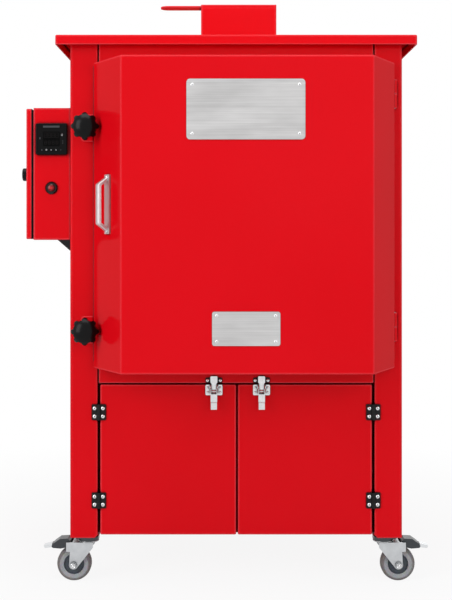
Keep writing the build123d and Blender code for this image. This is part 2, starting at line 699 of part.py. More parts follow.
# Toggle latches: a base on the door, a lever that turns on it, a hook that the
# lever pulls down, and a keeper above. Modelled about X = 0 and moved.
py, pz = LEVER_PIVOT
hy, hz = HOOK_PIVOT
cheek_in = LEVER_HALF + CHEEK_GAP
lever_in = LEVER_HALF - LEVER_WALL
latch_base = plate_y(
    (-BASE_PLATE[1], 0), (BASE_PLATE[0], BASE_Z[1] - BASE_Z[0]), (0, sum(BASE_Z) / 2), 3
)
for side in (-1, 1):
    cheek = along_x(
        (side * cheek_in, side * (cheek_in + CHEEK)),
        [(0, BASE_Z[0] + 3), (0, BASE_Z[1]), (py - 1, pz + 4), (py - 4, pz + 2), (py - 4, pz - 3)],
    )
    latch_base += cheek
    latch_base += bar((side * (lever_in - 0.1), py, pz), (side * (cheek_in + 1), py, pz), LEVER_PIN)

lever = along_x(
    (-LEVER_HALF, LEVER_HALF),
    [
        (LEVER_Y, LEVER_Z[0]),
        (LEVER_Y, LEVER_Z[1] - 9),
        (LEVER_Y + 3, LEVER_Z[1]),
        (LEVER_Y + 9, LEVER_Z[1]),
        (LEVER_Y + 14, hz + 3),
        (LEVER_Y + 14, hz - 4),
        (LEVER_Y + 7, LEVER_Z[0]),
    ],
)
lever_front = LEVER_Y + LEVER_FRONT
lever -= along_x(
    (-lever_in, lever_in),
    [
        (lever_front, LEVER_Z[0] - 5),
        (lever_front, hz - LEVER_WINDOW),
        (LEVER_Y - 1, hz - LEVER_WINDOW),
        (LEVER_Y - 1, LEVER_Z[1] + 6),
        (0, LEVER_Z[1] + 6),
        (0, LEVER_Z[0] - 5),
    ],
)
lever += along_x(
    (-LEVER_HALF + 0.5, LEVER_HALF - 0.5),
    [
        (LEVER_Y, LEVER_Z[0] + 1),
        (LEVER_Y, LEVER_Z[0] - 1),
        (LEVER_Y - 4, LEVER_TIP),
        (LEVER_Y - 2.4, LEVER_TIP),
        (lever_front, LEVER_Z[0] - 1),
        (lever_front, LEVER_Z[0] + 1),
    ],
)
lever -= bar((-LEVER_HALF - 1, py, pz), (LEVER_HALF + 1, py, pz), LEVER_PIN + LATCH_FIT)
lever += bar((-lever_in - 0.5, hy, hz), (lever_in + 0.5, hy, hz), HOOK_PIN)

shank_y = (hy - HOOK_THICK / 2, hy + HOOK_THICK / 2)
hook = bar((-HOOK_HALF, hy, hz), (HOOK_HALF, hy, hz), HOOK_EYE)
hook_neck = (466, 469)             # where the shank widens to the claw
hook += block((-HOOK_HALF, HOOK_HALF), shank_y, (hz, hook_neck[1]))
hook += along_y(
    shank_y,
    [
        (-HOOK_HALF, hook_neck[0]),
        (-CLAW_HALF, hook_neck[1]),
        (-CLAW_HALF, CLAW_Z[1]),
        (CLAW_HALF, CLAW_Z[1]),
        (CLAW_HALF, hook_neck[1]),
        (HOOK_HALF, hook_neck[0]),
    ],
)
hook = fillet(hook.edges().filter_by(Axis.Y).group_by(Axis.Z)[-1], 2)
hook += block((-CLAW_HALF + 1.5, CLAW_HALF - 1.5), (shank_y[0] + 1, -1.8), CLAW_Z)
hook -= bar((-HOOK_HALF - 1, hy, hz), (HOOK_HALF + 1, hy, hz), HOOK_PIN + LATCH_FIT)

wide, low, high = KEEPER
keeper = plate_y((-1.5, 0), (wide, high - low), (0, (low + high) / 2), 1.5)
ridge_half = RIDGE[0] / 2
keeper += along_x(
    (-ridge_half, ridge_half),
    [(0, low + 2.5), (0, RIDGE[2]), (-RIDGE[1], RIDGE[2]), (-RIDGE[1], RIDGE[2] - 4.2)],
)
for name, x in zip(("left", "right"), LATCH_X):
    nodes[f"latch_base_{name}"] = Pos(x, 0, 0) * latch_base
    nodes[f"latch_lever_{name}"] = Pos(x, 0, 0) * lever
    nodes[f"latch_hook_{name}"] = Pos(x, 0, 0) * hook
nodes["latch_keepers"] = Compound(children=[Pos(x, 0, 0) * keeper for x in LATCH_X])

# Control box: a deep sheet box whose open side faces left, with a rim. It is
# welded from one flat sheet for each wall and a strip for each side of the rim.
box_x = (-half - BOX_DEEP, -half)
panel_x, panel_z = -half - PANEL_OUT, BOX_Z[1] - PANEL_DROP
lamp_x, lamp_z = -half - LAMP_OUT, panel_z - LAMP_DROP
box = fillet(block(box_x, BOX_Y, BOX_Z).edges().filter_by(Axis.X), 3)
front_wall = (BOX_Y[0] - 1, BOX_Y[0] + BOX_SHEET + 1)
box -= plate_y(front_wall, (CUTOUT, CUTOUT), (panel_x, panel_z), 1)
box -= bar((lamp_x, front_wall[0], lamp_z), (lamp_x, front_wall[1], lamp_z), LAMP_HOLE)
box -= bar((box_x[1] - 3, *CABLE_AT), (box_x[1] + 1, *CABLE_AT), CABLE_HOLE)
gland_x, gland_z = -half - GLAND[0], GLAND[1]
gland_hole = GLAND_THREAD + GLAND_FIT
box -= bar((gland_x, BOX_Y[1] - 3, gland_z), (gland_x, BOX_Y[1] + 1, gland_z), gland_hole)
rim_in, wall_in = box_x[0] + BOX_SHEET, box_x[1] - BOX_SHEET
sheets = [box & block((wall_in, box_x[1]), BOX_Y, BOX_Z)]
for x, inset in (((box_x[0], rim_in), BOX_RIM), ((rim_in, wall_in), BOX_SHEET)):
    inside_z = (BOX_Z[0] + inset, BOX_Z[1] - inset)
    sheets.append(box & block(x, BOX_Y, (BOX_Z[0], inside_z[0])))
    sheets.append(box & block(x, BOX_Y, (inside_z[1], BOX_Z[1])))
    sheets.append(box & block(x, (BOX_Y[0], BOX_Y[0] + inset), inside_z))
    sheets.append(box & block(x, (BOX_Y[1] - inset, BOX_Y[1]), inside_z))

# Its hinges: tabs on the rear wall and on the lid, with half a barrel each.
lid_y = (BOX_Y[0], BOX_Y[1])
lid_z = (BOX_Z[0] + LID_INSET, BOX_Z[1] - LID_INSET)
lid_x = [-half - v for v in LID]
lid = block(lid_x, lid_y, lid_z)
lid = fillet(lid.edges().filter_by(Axis.X), 3)
lid = fillet(lid.faces().sort_by(Axis.X)[0].edges(), BOX_SHEET + FOLD)
lid -= block(
    (lid_x[0] + BOX_SHEET, lid_x[1] + 1),
    (lid_y[0] + BOX_SHEET, lid_y[1] - BOX_SHEET),
    (lid_z[0] + BOX_SHEET, lid_z[1] - BOX_SHEET),
)
lx, ly = -half - LID_HINGE[0], LID_HINGE[1]
tab_y = (BOX_Y[1], BOX_Y[1] + 2)
for z in LID_HINGE_Z:
    split, top = z + LID_HINGE_LENGTH / 2, z + LID_HINGE_LENGTH
    tab = block((lx, lx + 12), tab_y, (z, split - 0.25))
    tab += bar((lx, ly, z), (lx, ly, split - 0.25), LID_BARREL)
    tab += bar((lx, ly, z), (lx, ly, top + 1), LID_PIN)
    sheets.append(tab)
    lid += block((lid_x[0] + 2, lx), tab_y, (split + 0.25, top))
    lid += bar((lx, ly, split + 0.25), (lx, ly, top), LID_BARREL)
    lid -= bar((lx, ly, split - 1), (lx, ly, top + 1), LID_PIN + LID_FIT)
lock_y, lock_z = LOCK_AT
lid -= bar((lid_x[0] - 1, *LOCK_AT), (lid_x[0] + 3, *LOCK_AT), LOCK_SHAFT + LOCK_FIT)
nodes["control_box"] = Compound(children=sheets)
nodes["control_box_lid"] = lid

rope_gap, rope_wide = LID_GASKET
rope_x = [-half - v for v in LID_GASKET_OUT]
lid_rope = block(
    rope_x,
    (BOX_Y[0] + rope_gap, BOX_Y[1] - rope_gap),
    (BOX_Z[0] + rope_gap, BOX_Z[1] - rope_gap),
)
lid_rope = fillet(lid_rope.edges().filter_by(Axis.X), 4)
rope_in = rope_gap + rope_wide
lid_rope -= block(
    (rope_x[0] - 1, rope_x[1] + 1),
    (BOX_Y[0] + rope_in, BOX_Y[1] - rope_in),
    (BOX_Z[0] + rope_in, BOX_Z[1] - rope_in),
)
nodes["lid_gasket"] = lid_rope

knob_r, knob_long = LOCK_KNOB
lock_face = lid_x[0] - knob_long
lock = bar((lock_face, *LOCK_AT), (lid_x[0], *LOCK_AT), knob_r)
lock = chamfer(lock.edges().group_by(Axis.X)[0], 1.5)
lock -= block(
    (lock_face - 1, lock_face + 2), (lock_y - 9, lock_y + 9), (lock_z - 1.2, lock_z + 1.2)
)
tongue_long, tongue_wide, tongue_thick = LOCK_TONGUE
tongue_x = -half - LOCK_TONGUE_OUT
lock += bar((lid_x[0] - 1, *LOCK_AT), (tongue_x + tongue_thick, *LOCK_AT), LOCK_SHAFT)
lock_tongue = block(
    (tongue_x, tongue_x + tongue_thick),
    (lock_y - tongue_wide / 2, lock_y + tongue_wide / 2),
    (lock_z - tongue_wide / 2, lock_z + tongue_long),
)
nodes["lid_lock"] = lock + fillet(lock_tongue.edges().filter_by(Axis.X), 2)

reach, drop, thick = GUSSET
gusset_low = BOX_Z[0] - drop
gussets = []
for y in (BOX_Y[0] + 2, BOX_Y[1] - 20):
    corners = [(-half - reach, BOX_Z[0]), (-half, BOX_Z[0]), (-half, gusset_low), (-half - 2, gusset_low)]
    gussets.append(along_y((y, y + thick), corners))
nodes["control_box_gussets"] = Compound(children=gussets)

# Temperature controller: a square bezel in front of the panel, its case behind,
# and three keys in pockets along the bottom of the bezel.
bezel_size, bezel_thick = BEZEL
bezel_y = (BOX_Y[0] - bezel_thick, BOX_Y[0])
controller = plate_y(bezel_y, (bezel_size, bezel_size), (panel_x, panel_z), 3)
controller = fillet(controller.faces().sort_by(Axis.Y)[0].edges(), 1.5)
controller -= plate_y(
    (bezel_y[0] - 1, bezel_y[0] + 1), (bezel_size - 8, bezel_size - 8), (panel_x, panel_z), 2
)
controller += plate_y(
    (BOX_Y[0], BOX_Y[0] + MODULE[1]), (MODULE[0], MODULE[0]), (panel_x, panel_z), 1
)
panel_face = bezel_y[0] + 1
key_z = panel_z - KEY_DROP
for name, dx in zip(("set", "down", "up"), KEYS_X):
    at = (panel_x + dx, key_z)
    controller -= plate_y(
        (panel_face - 2, panel_face + 3), (KEY[0] + 2 * KEY_FIT, KEY[1] + 2 * KEY_FIT), at, 1 + KEY_FIT
    )
    key = plate_y((panel_face - KEY_OUT, panel_face + 3 - KEY_TRAVEL), KEY, at, 1)
    nodes[f"controller_key_{name}"] = fillet(key.faces().sort_by(Axis.Y)[0].edges(), 0.4)
nodes["temperature_controller"] = controller

# Pilot lamp: a domed lens in a ring, with its body behind the panel.
def turned_y(x, z, profile):
    """A profile of (radius, Y) points turned about an axis along Y."""
    face = make_face(Polyline(*profile, close=True))
    return Pos(x, 0, z) * revolve(face, axis=Axis.Y)


by = BOX_Y[0]
lamp_body = LAMP_HOLE - LAMP_FIT
lamp_ring = turned_y(
    lamp_x,
    lamp_z,
    [
        (LAMP_LENS, by - 5),
        (LAMP_BEZEL - 2, by - 5),
        (LAMP_BEZEL, by - 3),
        (LAMP_BEZEL, by),
        (lamp_body, by),
        (lamp_body, by + 40),
        (0, by + 40),
        (0, by - 1),
        (LAMP_LENS, by - 1),
    ],
)
lens = turned_y(
    lamp_x,
    lamp_z,
    [
        (0, by - 9),
        (3.5, by - 8.7),
        (6.4, by - 7.6),
        (8.2, by - 6),
        (LAMP_LENS, by - 4),
        (LAMP_LENS, by - 1),
        (0, by - 1),
    ],
)
nodes["pilot_lamp"] = Compound(children=[lamp_ring, lens])

# Switchgear on a rail against the kiln side of the box.
rail_x = wall_in - RAIL_HEIGHT


def on_rail(low_y, top_y, low_z, top_z, depth):
    """A device on the rail, between limits in Y and Z."""
    return block((rail_x - depth, rail_x), (low_y, top_y), (low_z, top_z))


rail = block((rail_x, wall_in), RAIL[:2], RAIL[2:])
contactor = on_rail(*CONTACTOR)
contactor_face = contactor.faces().sort_by(Axis.X)[0]
contactor += extrude(offset(contactor_face, amount=-10), amount=4)
first, wide, low, high, depth = TERMINAL
terminals = []
for i in range(8):
    y = first + TERMINAL_PITCH * i
    terminals.append(on_rail(y, y + wide, low, high, depth))
nodes["switchgear"] = Compound(children=[rail, contactor, on_rail(*RELAY), *terminals])

rear_in, rear_out = BOX_Y[1] - BOX_SHEET, BOX_Y[1]
nodes["cable_gland"] = turned_y(
    gland_x,
    gland_z,
    [
        (GLAND_BORE, rear_in - 8.5),
        (12, rear_in - 8.5),
        (12, rear_in),
        (GLAND_THREAD, rear_in),
        (GLAND_THREAD, rear_out),
        (13, rear_out),
        (13, rear_out + 6),
        (11, rear_out + 7),
        (11, rear_out + 20),
        (8, rear_out + 24),
        (GLAND_BORE, rear_out + 24),
    ],
)

# Castors. The front pair swivels, trails outwards and has brake pedals.
castor_x = half - CASTOR_INSET
wheel_r, wheel_half = (CASTOR_HEIGHT - WHEEL_ROOM) / 2, WHEEL_WIDE / 2
axle_z = wheel_r
leg_out = LEG_IN + LEG
plate_low = CASTOR_HEIGHT - PLATE_SIZE[2]
cup_low = plate_low - CUP[1]
disc_low, disc_top = plate_low - CROWN[1], plate_low - CROWN[2]
crown_low = disc_low - 4
pedal_z = CASTOR_HEIGHT - PEDAL_AT[1]
fork_tip = 10.5            # radius of a fork leg round the axle


def axle(start, end):
    """An axle between two points, with a head beyond each end."""
    run = (Vector(*end) - Vector(*start)).normalized()
    shape = bar(start, end, AXLE)
    for point, way in ((Vector(*start), -1), (Vector(*end), 1)):
        tip = point + run * (way * 5)
        shape += bar(tuple(point - run * way), tuple(tip), 7.5)
    return shape


def swivel_castor(side):
    """Mount, fork and pedal of the front castor on one side, in that order."""
    x, y = side * castor_x, CASTOR_Y[0]

    def rib(spread, points):
        return along_y([y + s for s in spread], [(x + side * u, z) for u, z in points])

    mount = block(
        (x - PLATE_SIZE[0] / 2, x + PLATE_SIZE[0] / 2),
        (y - PLATE_SIZE[1] / 2, y + PLATE_SIZE[1] / 2),
        (plate_low, CASTOR_HEIGHT),
    )
    mount = fillet(upright(mount), 6)
    cup = bar((x, y, cup_low), (x, y, plate_low), CUP[0])
    mount += fillet(cup.edges().sort_by(Axis.Z)[-1], 3)
    mount += bar((x, y, crown_low - 4), (x, y, cup_low + 1), KINGPIN)
    mount += bar((x, y, crown_low - 4), (x, y, crown_low - 0.4), KINGPIN + 3)

    fork = bar((x, y, disc_low), (x, y, disc_top), CROWN[0])
    crown = [(-12, crown_low), (-12, disc_low), (36, disc_low), (36, crown_low)]
    fork += rib((-leg_out, leg_out), crown)
    hub_x = x + side * TRAIL
    leg = [(-4, disc_low - 22), (-12, disc_low - 12), (-12, disc_low), (50, disc_low)]
    leg += [(50, disc_low - 21), (41.5, disc_low - 22), (43, axle_z), (24.5, axle_z - 6)]
    for s in (-1, 1):
        faces = (s * LEG_IN, s * leg_out)
        fork += rib(faces, leg)
        fork += bar((hub_x, y + faces[0], axle_z), (hub_x, y + faces[1], axle_z), fork_tip)
    fork += axle((hub_x, y - leg_out, axle_z), (hub_x, y + leg_out, axle_z))
    fork -= bar((x, y, crown_low - 1), (x, y, disc_top + 1), KINGPIN + KINGPIN_FIT)
    pin_x = x + side * PEDAL_AT[0]
    fork += bar((pin_x, y - leg_out, pedal_z), (pin_x, y + leg_out, pedal_z), PEDAL_PIN)

    profile = [(41, 5), (46, 14), (66, 13), (80, 3), (86, -4)]
    profile += [(82, -8), (64, -9.5), (56, -8), (48, -5.5), (41, -4)]
    pedal = rib((-PEDAL_HALF, PEDAL_HALF), [(u, pedal_z + v) for u, v in profile])
    pedal = fillet(pedal.edges().filter_by(Axis.Y).group_by(Axis.Z)[-1], 2)
    tip = [(78, 0), (82, 1.5), (104, -4), (102, -10), (84, -8)]
    pedal += rib((-10, 10), [(u, pedal_z + v) for u, v in tip])
    pedal -= bar(
        (pin_x, y - 20, pedal_z), (pin_x, y + 20, pedal_z), PEDAL_PIN + PEDAL_FIT
    )
    return mount, fork, pedal


def fixed_castor(x):
    """Bracket of a rear castor, whose wheel runs on an axle along X."""
    y = CASTOR_Y[1]
    bracket = block(
        (x - PLATE_SIZE[0] / 2, x + PLATE_SIZE[0] / 2),
        (y - PLATE_SIZE[1] / 2, y + PLATE_SIZE[1] / 2),
        (plate_low, CASTOR_HEIGHT),
    )
    bracket = fillet(upright(bracket), 6)
    for s in (-1, 1):
        faces = (x + s * LEG_IN, x + s * leg_out)
        leg = [(y - 30, plate_low + 1), (y + 30, plate_low + 1), (y + 10, axle_z), (y - 10, axle_z)]
        bracket += along_x(faces, leg)
        bracket += bar((faces[0], y, axle_z), (faces[1], y, axle_z), fork_tip)
    return bracket + axle((x - leg_out, y, axle_z), (x + leg_out, y, axle_z))


def wheel(x, y, along):
    """A wheel's core and its tyre; along is the direction of its axle."""
    bore, hub = AXLE + AXLE_FIT, LEG_IN - 1
    disc, rim = wheel_half - 4, wheel_half - 2
    core = [(bore, hub), (11, hub), (12, disc), (WHEEL_CORE - 3, disc), (WHEEL_CORE - 2, rim)]
    core.append((WHEEL_CORE, rim))
    r = wheel_r
    tyre = [(WHEEL_CORE, rim), (r - 5, wheel_half), (r - 1, wheel_half - 4), (r, wheel_half - 9)]
    profiles = [side + [(a, -b) for a, b in reversed(side)] for side in (core, tyre)]
    place = Plane(origin=(x, y, axle_z), x_dir=(0, 0, 1), z_dir=along)
    return Compound(
        children=[
            place * (Rot(90, 0, 0) * revolve(make_face(Polyline(*points, close=True)), axis=Axis.Y))
            for points in profiles
        ]
    )


mounts = []
for name, side in (("left", -1), ("right", 1)):
    mount, fork, pedal = swivel_castor(side)
    mounts += [mount, fixed_castor(side * castor_x)]
    nodes[f"castor_fork_{name}"] = fork
    nodes[f"brake_pedal_{name}"] = pedal
    nodes[f"wheel_front_{name}"] = wheel(side * (castor_x + TRAIL), CASTOR_Y[0], (0, 1, 0))
    nodes[f"wheel_rear_{name}"] = wheel(side * castor_x, CASTOR_Y[1], (1, 0, 0))
nodes["castor_mounts"] = Compound(children=mounts)

# Everything is moved so that the origin is the middle of the bounding box's bottom.
boxes = [shape.bounding_box() for shape in nodes.values()]
low = [min(b.min.X for b in boxes), min(b.min.Y for b in boxes), min(b.min.Z for b in boxes)]
top = [max(b.max.X for b in boxes), max(b.max.Y for b in boxes), max(b.max.Z for b in boxes)]
SHIFT = (-(low[0] + top[0]) / 2, -(low[1] + top[1]) / 2, -low[2])
for name, shape in nodes.items():
    export_step(Pos(*SHIFT) * shape, f"parts/{name}.step")
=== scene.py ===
import math

import bpy
from mathutils import Matrix, Vector


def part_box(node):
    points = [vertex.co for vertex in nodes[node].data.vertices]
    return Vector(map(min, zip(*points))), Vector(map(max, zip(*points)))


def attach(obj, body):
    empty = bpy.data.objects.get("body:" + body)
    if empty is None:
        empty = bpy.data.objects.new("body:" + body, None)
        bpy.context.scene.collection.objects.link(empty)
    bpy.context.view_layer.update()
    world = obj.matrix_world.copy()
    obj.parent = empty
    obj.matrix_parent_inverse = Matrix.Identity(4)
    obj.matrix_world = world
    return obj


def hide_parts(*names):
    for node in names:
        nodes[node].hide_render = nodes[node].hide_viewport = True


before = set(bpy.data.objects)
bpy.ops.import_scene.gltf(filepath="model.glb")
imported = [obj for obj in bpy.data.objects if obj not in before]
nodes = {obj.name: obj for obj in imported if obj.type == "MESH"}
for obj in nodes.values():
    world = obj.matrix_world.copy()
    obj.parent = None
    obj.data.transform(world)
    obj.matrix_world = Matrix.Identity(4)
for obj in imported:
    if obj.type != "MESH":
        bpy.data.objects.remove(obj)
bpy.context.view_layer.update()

# Studio. A kiln is photographed on white paper under soft lamps: a long soft box
# on the left, which lights the left slope of the door, weaker ones on the right and
# in front, one overhead and one behind. Places are in mm from the foot of the front.
plate_low, plate_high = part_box("front_plate")
MIDDLE = (plate_low.x + plate_high.x) / 2
FRONT = plate_low.y


def at(x, y, z):
    """A point in metres: x from the cabinet's middle, y from its front, z from the floor, in mm."""
    return Vector((MIDDLE + x / 1000, FRONT + y / 1000, z / 1000))


def linear(code):
    """A colour written as an sRGB hex code, in the linear values that a shader takes."""
    parts = [int(code[i:i + 2], 16) / 255 for i in (1, 3, 5)]
    return [v / 12.92 if v <= 0.04045 else ((v + 0.055) / 1.055) ** 2.4 for v in parts] + [1]


def new_material(name):
    made = bpy.data.materials.new(name)
    made.use_nodes = True
    made.node_tree.nodes.clear()
    return made


def add(tree, kind, inputs=(), **settings):
    """Adds a node with its settings; an input that is given a socket is linked to it."""
    made = tree.nodes.new(kind)
    for key, value in settings.items():
        setattr(made, key, value)
    for key, value in dict(inputs).items():
        if isinstance(value, bpy.types.NodeSocket):
            tree.links.new(value, made.inputs[key])
        else:
            made.inputs[key].default_value = value
    return made


def primitive(kind, name, **sizes):
    """A new primitive, alone in the selection."""
    bpy.ops.object.select_all(action="DESELECT")
    getattr(bpy.ops.mesh, f"primitive_{kind}_add")(**sizes)
    made = bpy.context.object
    made.name = made.data.name = name
    return made


PAPER_WHITE = "#FFFFFF"
world = bpy.data.worlds.new("studio_air")
bpy.context.scene.world = world
world.use_nodes = True
air = world.node_tree
air.nodes.clear()
rays = add(air, "ShaderNodeLightPath")
seen = add(air, "ShaderNodeMath", {0: rays.outputs["Is Camera Ray"], 1: rays.outputs["Is Glossy Ray"]},
           operation="MAXIMUM")
seen = add(air, "ShaderNodeMath", {0: seen.outputs[0], 1: rays.outputs["Is Transmission Ray"]},
           operation="MAXIMUM")
lit = add(air, "ShaderNodeBackground", {"Color": linear("#E8ECF2"), "Strength": 0.36})
white = add(air, "ShaderNodeBackground", {"Color": linear(PAPER_WHITE), "Strength": 1.0})
mixed = add(air, "ShaderNodeMixShader", {0: seen.outputs[0], 1: lit.outputs[0], 2: white.outputs[0]})
add(air, "ShaderNodeOutputWorld", {"Surface": mixed.outputs[0]})

# Matt white paper: it fades into the background's white away from the kiln and
# keeps the kiln's shadow close by.
paper = new_material("matt_white_paper")
tree = paper.node_tree
place = add(tree, "ShaderNodeTexCoord").outputs["Object"]
reach = add(tree, "ShaderNodeVectorMath", {0: place}, operation="LENGTH")
fade = add(tree, "ShaderNodeMapRange", {
    "Value": reach.outputs["Value"], "From Min": 0.5, "From Max": 1.6, "To Min": 0.9, "To Max": 1.0,
})
rays = add(tree, "ShaderNodeLightPath")
seen = add(tree, "ShaderNodeMath", {0: rays.outputs["Is Camera Ray"], 1: rays.outputs["Is Glossy Ray"]},
           operation="MAXIMUM")
share = add(tree, "ShaderNodeMath", {0: seen.outputs[0], 1: fade.outputs[0]}, operation="MULTIPLY")
matt = add(tree, "ShaderNodeBsdfDiffuse", {"Color": linear("#D2D2D2"), "Roughness": 0.6})
glow = add(tree, "ShaderNodeEmission", {"Color": linear(PAPER_WHITE), "Strength": 1.0})
mixed = add(tree, "ShaderNodeMixShader", {0: share.outputs[0], 1: matt.outputs[0], 2: glow.outputs[0]})
add(tree, "ShaderNodeOutputMaterial", {"Surface": mixed.outputs[0]})
floor = primitive("circle", "studio_floor", vertices=96, radius=14, fill_type="NGON", location=(0, 0, 0))
floor.data.materials.append(paper)


def soft_box(name, place, target, wide, high, power):
    """A rectangular area lamp that faces a point."""
    lamp = bpy.data.lights.new(name, "AREA")
    lamp.shape = "RECTANGLE"
    lamp.size, lamp.size_y, lamp.energy = wide, high, power
    holder = bpy.data.objects.new(name, lamp)
    bpy.context.scene.collection.objects.link(holder)
    holder.matrix_world = (
        Matrix.Translation(place) @ (target - place).to_track_quat("-Z", "Y").to_matrix().to_4x4()
    )
    return holder


soft_box("lamp_left", at(-2300, -1900, 1600), at(0, 0, 800), 1.4, 2.6, 42)
soft_box("lamp_right", at(2500, -2100, 1500), at(0, 0, 700), 0.6, 2.2, 20)
fill = soft_box("lamp_front", at(900, -3600, 1600), at(0, 0, 700), 1.8, 1.6, 26)
fill.visible_glossy = False        # so that the bare plates don't mirror it
soft_box("lamp_overhead", at(0, -550, 3300), at(0, 100, 600), 2.6, 1.4, 36)
soft_box("lamp_behind", at(600, 3300, 2300), at(0, 700, 700), 2.4, 1.8, 26)

# The camera stands 2.7 m in front, level, with its back raised to take in the
# castors.
IMAGE_HIGH = 600
FOCAL = 1172.9             # pixels
SHIFT = (-0.5, -70)        # pixels
lens = bpy.data.cameras.new("camera")
lens.sensor_width = 36
lens.lens = FOCAL / IMAGE_HIGH * 36
lens.shift_x, lens.shift_y = (v / IMAGE_HIGH for v in SHIFT)
camera = bpy.data.objects.new("camera", lens)
bpy.context.scene.collection.objects.link(camera)
camera.location = at(-22.1, -2700, 819)
camera.rotation_euler = (math.radians(90), 0, 0)
bpy.context.scene.camera = camera
bpy.context.scene.view_settings.view_transform = "Standard"

# Casing: folded mild steel sheet in gloss red powder coat, welded at its corners.
# Powder flows out in the oven to a faint orange peel, a few millimetres across,
# that breaks up reflections; its gloss drifts slightly over a large panel.


def paint_nook_shade(tree, tone, reach, samples, closed, clear, dark):
    """Paints shade into a tone in seams and folds, where other faces stand closer than the reach: painted
    shade.

    A colour mix takes its two colours in sockets 6 and 7 and gives the result in socket 2.
    """
    nook = add(tree, "ShaderNodeAmbientOcclusion", {"Distance": reach}, samples=samples)
    open_air = add(tree, "ShaderNodeMapRange", {
        "Value": nook.outputs["AO"], "From Min": closed, "From Max": clear, "To Min": 0.0, "To Max": 1.0,
    })
    return add(tree, "ShaderNodeMix", {
        "Factor": open_air.outputs[0], 6: linear(dark), 7: tone.outputs[2],
    }, data_type="RGBA")


def dress(made, *names):
    """Gives CAD nodes a finish."""
    for name in names:
        for place in nodes[name].material_slots:
            place.material = made


red_coat = new_material("gloss_red_powder_coat")
tree = red_coat.node_tree
place = add(tree, "ShaderNodeTexCoord").outputs["Object"]
peel = add(tree, "ShaderNodeTexNoise", {"Vector": place, "Scale": 300, "Detail": 2.0})    # 3.3 mm
drift = add(tree, "ShaderNodeTexNoise", {"Vector": place, "Scale": 3.2, "Detail": 1.5})   # 300 mm
haze = add(tree, "ShaderNodeTexNoise", {"Vector": place, "Scale": 42, "Detail": 3.0})     # 24 mm
tone = add(tree, "ShaderNodeMix", {
    "Factor": drift.outputs["Fac"], 6: linear("#DC0914"), 7: linear("#E50B1A"),
}, data_type="RGBA")
# A bevel rounds the shading normals over 4.5 mm, and the colour is lightened towards pale pink along every
# fold and edge: a painted highlight.
rounded = add(tree, "ShaderNodeBevel", {"Radius": 0.0045}, samples=6)
flatness = add(tree, "ShaderNodeVectorMath", {
    0: rounded.outputs[0], 1: add(tree, "ShaderNodeNewGeometry").outputs["Normal"],
}, operation="DOT_PRODUCT")
edge = add(tree, "ShaderNodeMapRange", {
    "Value": flatness.outputs["Value"], "From Min": 0.999, "From Max": 0.96, "To Min": 0.0, "To Max": 0.5,
})
tone = add(tree, "ShaderNodeMix", {
    "Factor": edge.outputs[0], 6: tone.outputs[2], 7: linear("#FF6670"),
}, data_type="RGBA")
# Seams, folds and the band under the roof's rim darken towards deep red: painted shade.
tone = paint_nook_shade(tree, tone, 0.012, 8, 0.5, 0.82, "#3C0003")
gloss = add(tree, "ShaderNodeMapRange", {
    "Value": haze.outputs["Fac"], "From Min": 0.3, "From Max": 0.7, "To Min": 0.33, "To Max": 0.40,
})
skin = add(tree, "ShaderNodeBump", {
    "Height": peel.outputs["Fac"], "Strength": 0.05, "Distance": 0.0005, "Normal": rounded.outputs[0],
})
shader = add(tree, "ShaderNodeBsdfPrincipled", {
    "Base Color": tone.outputs[2], "Roughness": gloss.outputs[0], "Normal": skin.outputs[0],
    "Specular IOR Level": 0.0, "Coat Weight": 0.12, "Coat Roughness": 0.1,
})
add(tree, "ShaderNodeOutputMaterial", {"Surface": shader.outputs[0]})
dress(
    red_coat, "side_casing_left", "side_casing_right", "front_plate", "back_panel", "roof_tray",
    "cupboard_floor", "chimney", "chimney_damper", "door_shell", "door_back_frame", "control_box",
    "control_box_lid", "cupboard_door_left", "cupboard_door_right",
)

# Galvanised sheet: the deck under the lining and the clamps' two washers. Zinc
# sets on the dipped steel in spangles, pale and dark patches about 15 mm across.
galvanised = new_material("galvanised_steel")
tree = galvanised.node_tree
place = add(tree, "ShaderNodeTexCoord").outputs["Object"]
spangle = add(tree, "ShaderNodeTexVoronoi", {"Vector": place, "Scale": 65, "Randomness": 1.0})
tone = add(tree, "ShaderNodeMix", {
    "Factor": spangle.outputs["Color"], 6: linear("#A9ADB0"), 7: linear("#C9CCCE"),
}, data_type="RGBA")
gloss = add(tree, "ShaderNodeMapRange", {"Value": spangle.outputs["Color"], "To Min": 0.3, "To Max": 0.45})
shader = add(tree, "ShaderNodeBsdfPrincipled", {
    "Base Color": tone.outputs[2], "Roughness": gloss.outputs[0], "Metallic": 1.0,
})
add(tree, "ShaderNodeOutputMaterial", {"Surface": shader.outputs[0]})
dress(galvanised, "kiln_deck", "clamp_washer_lower", "clamp_washer_upper")

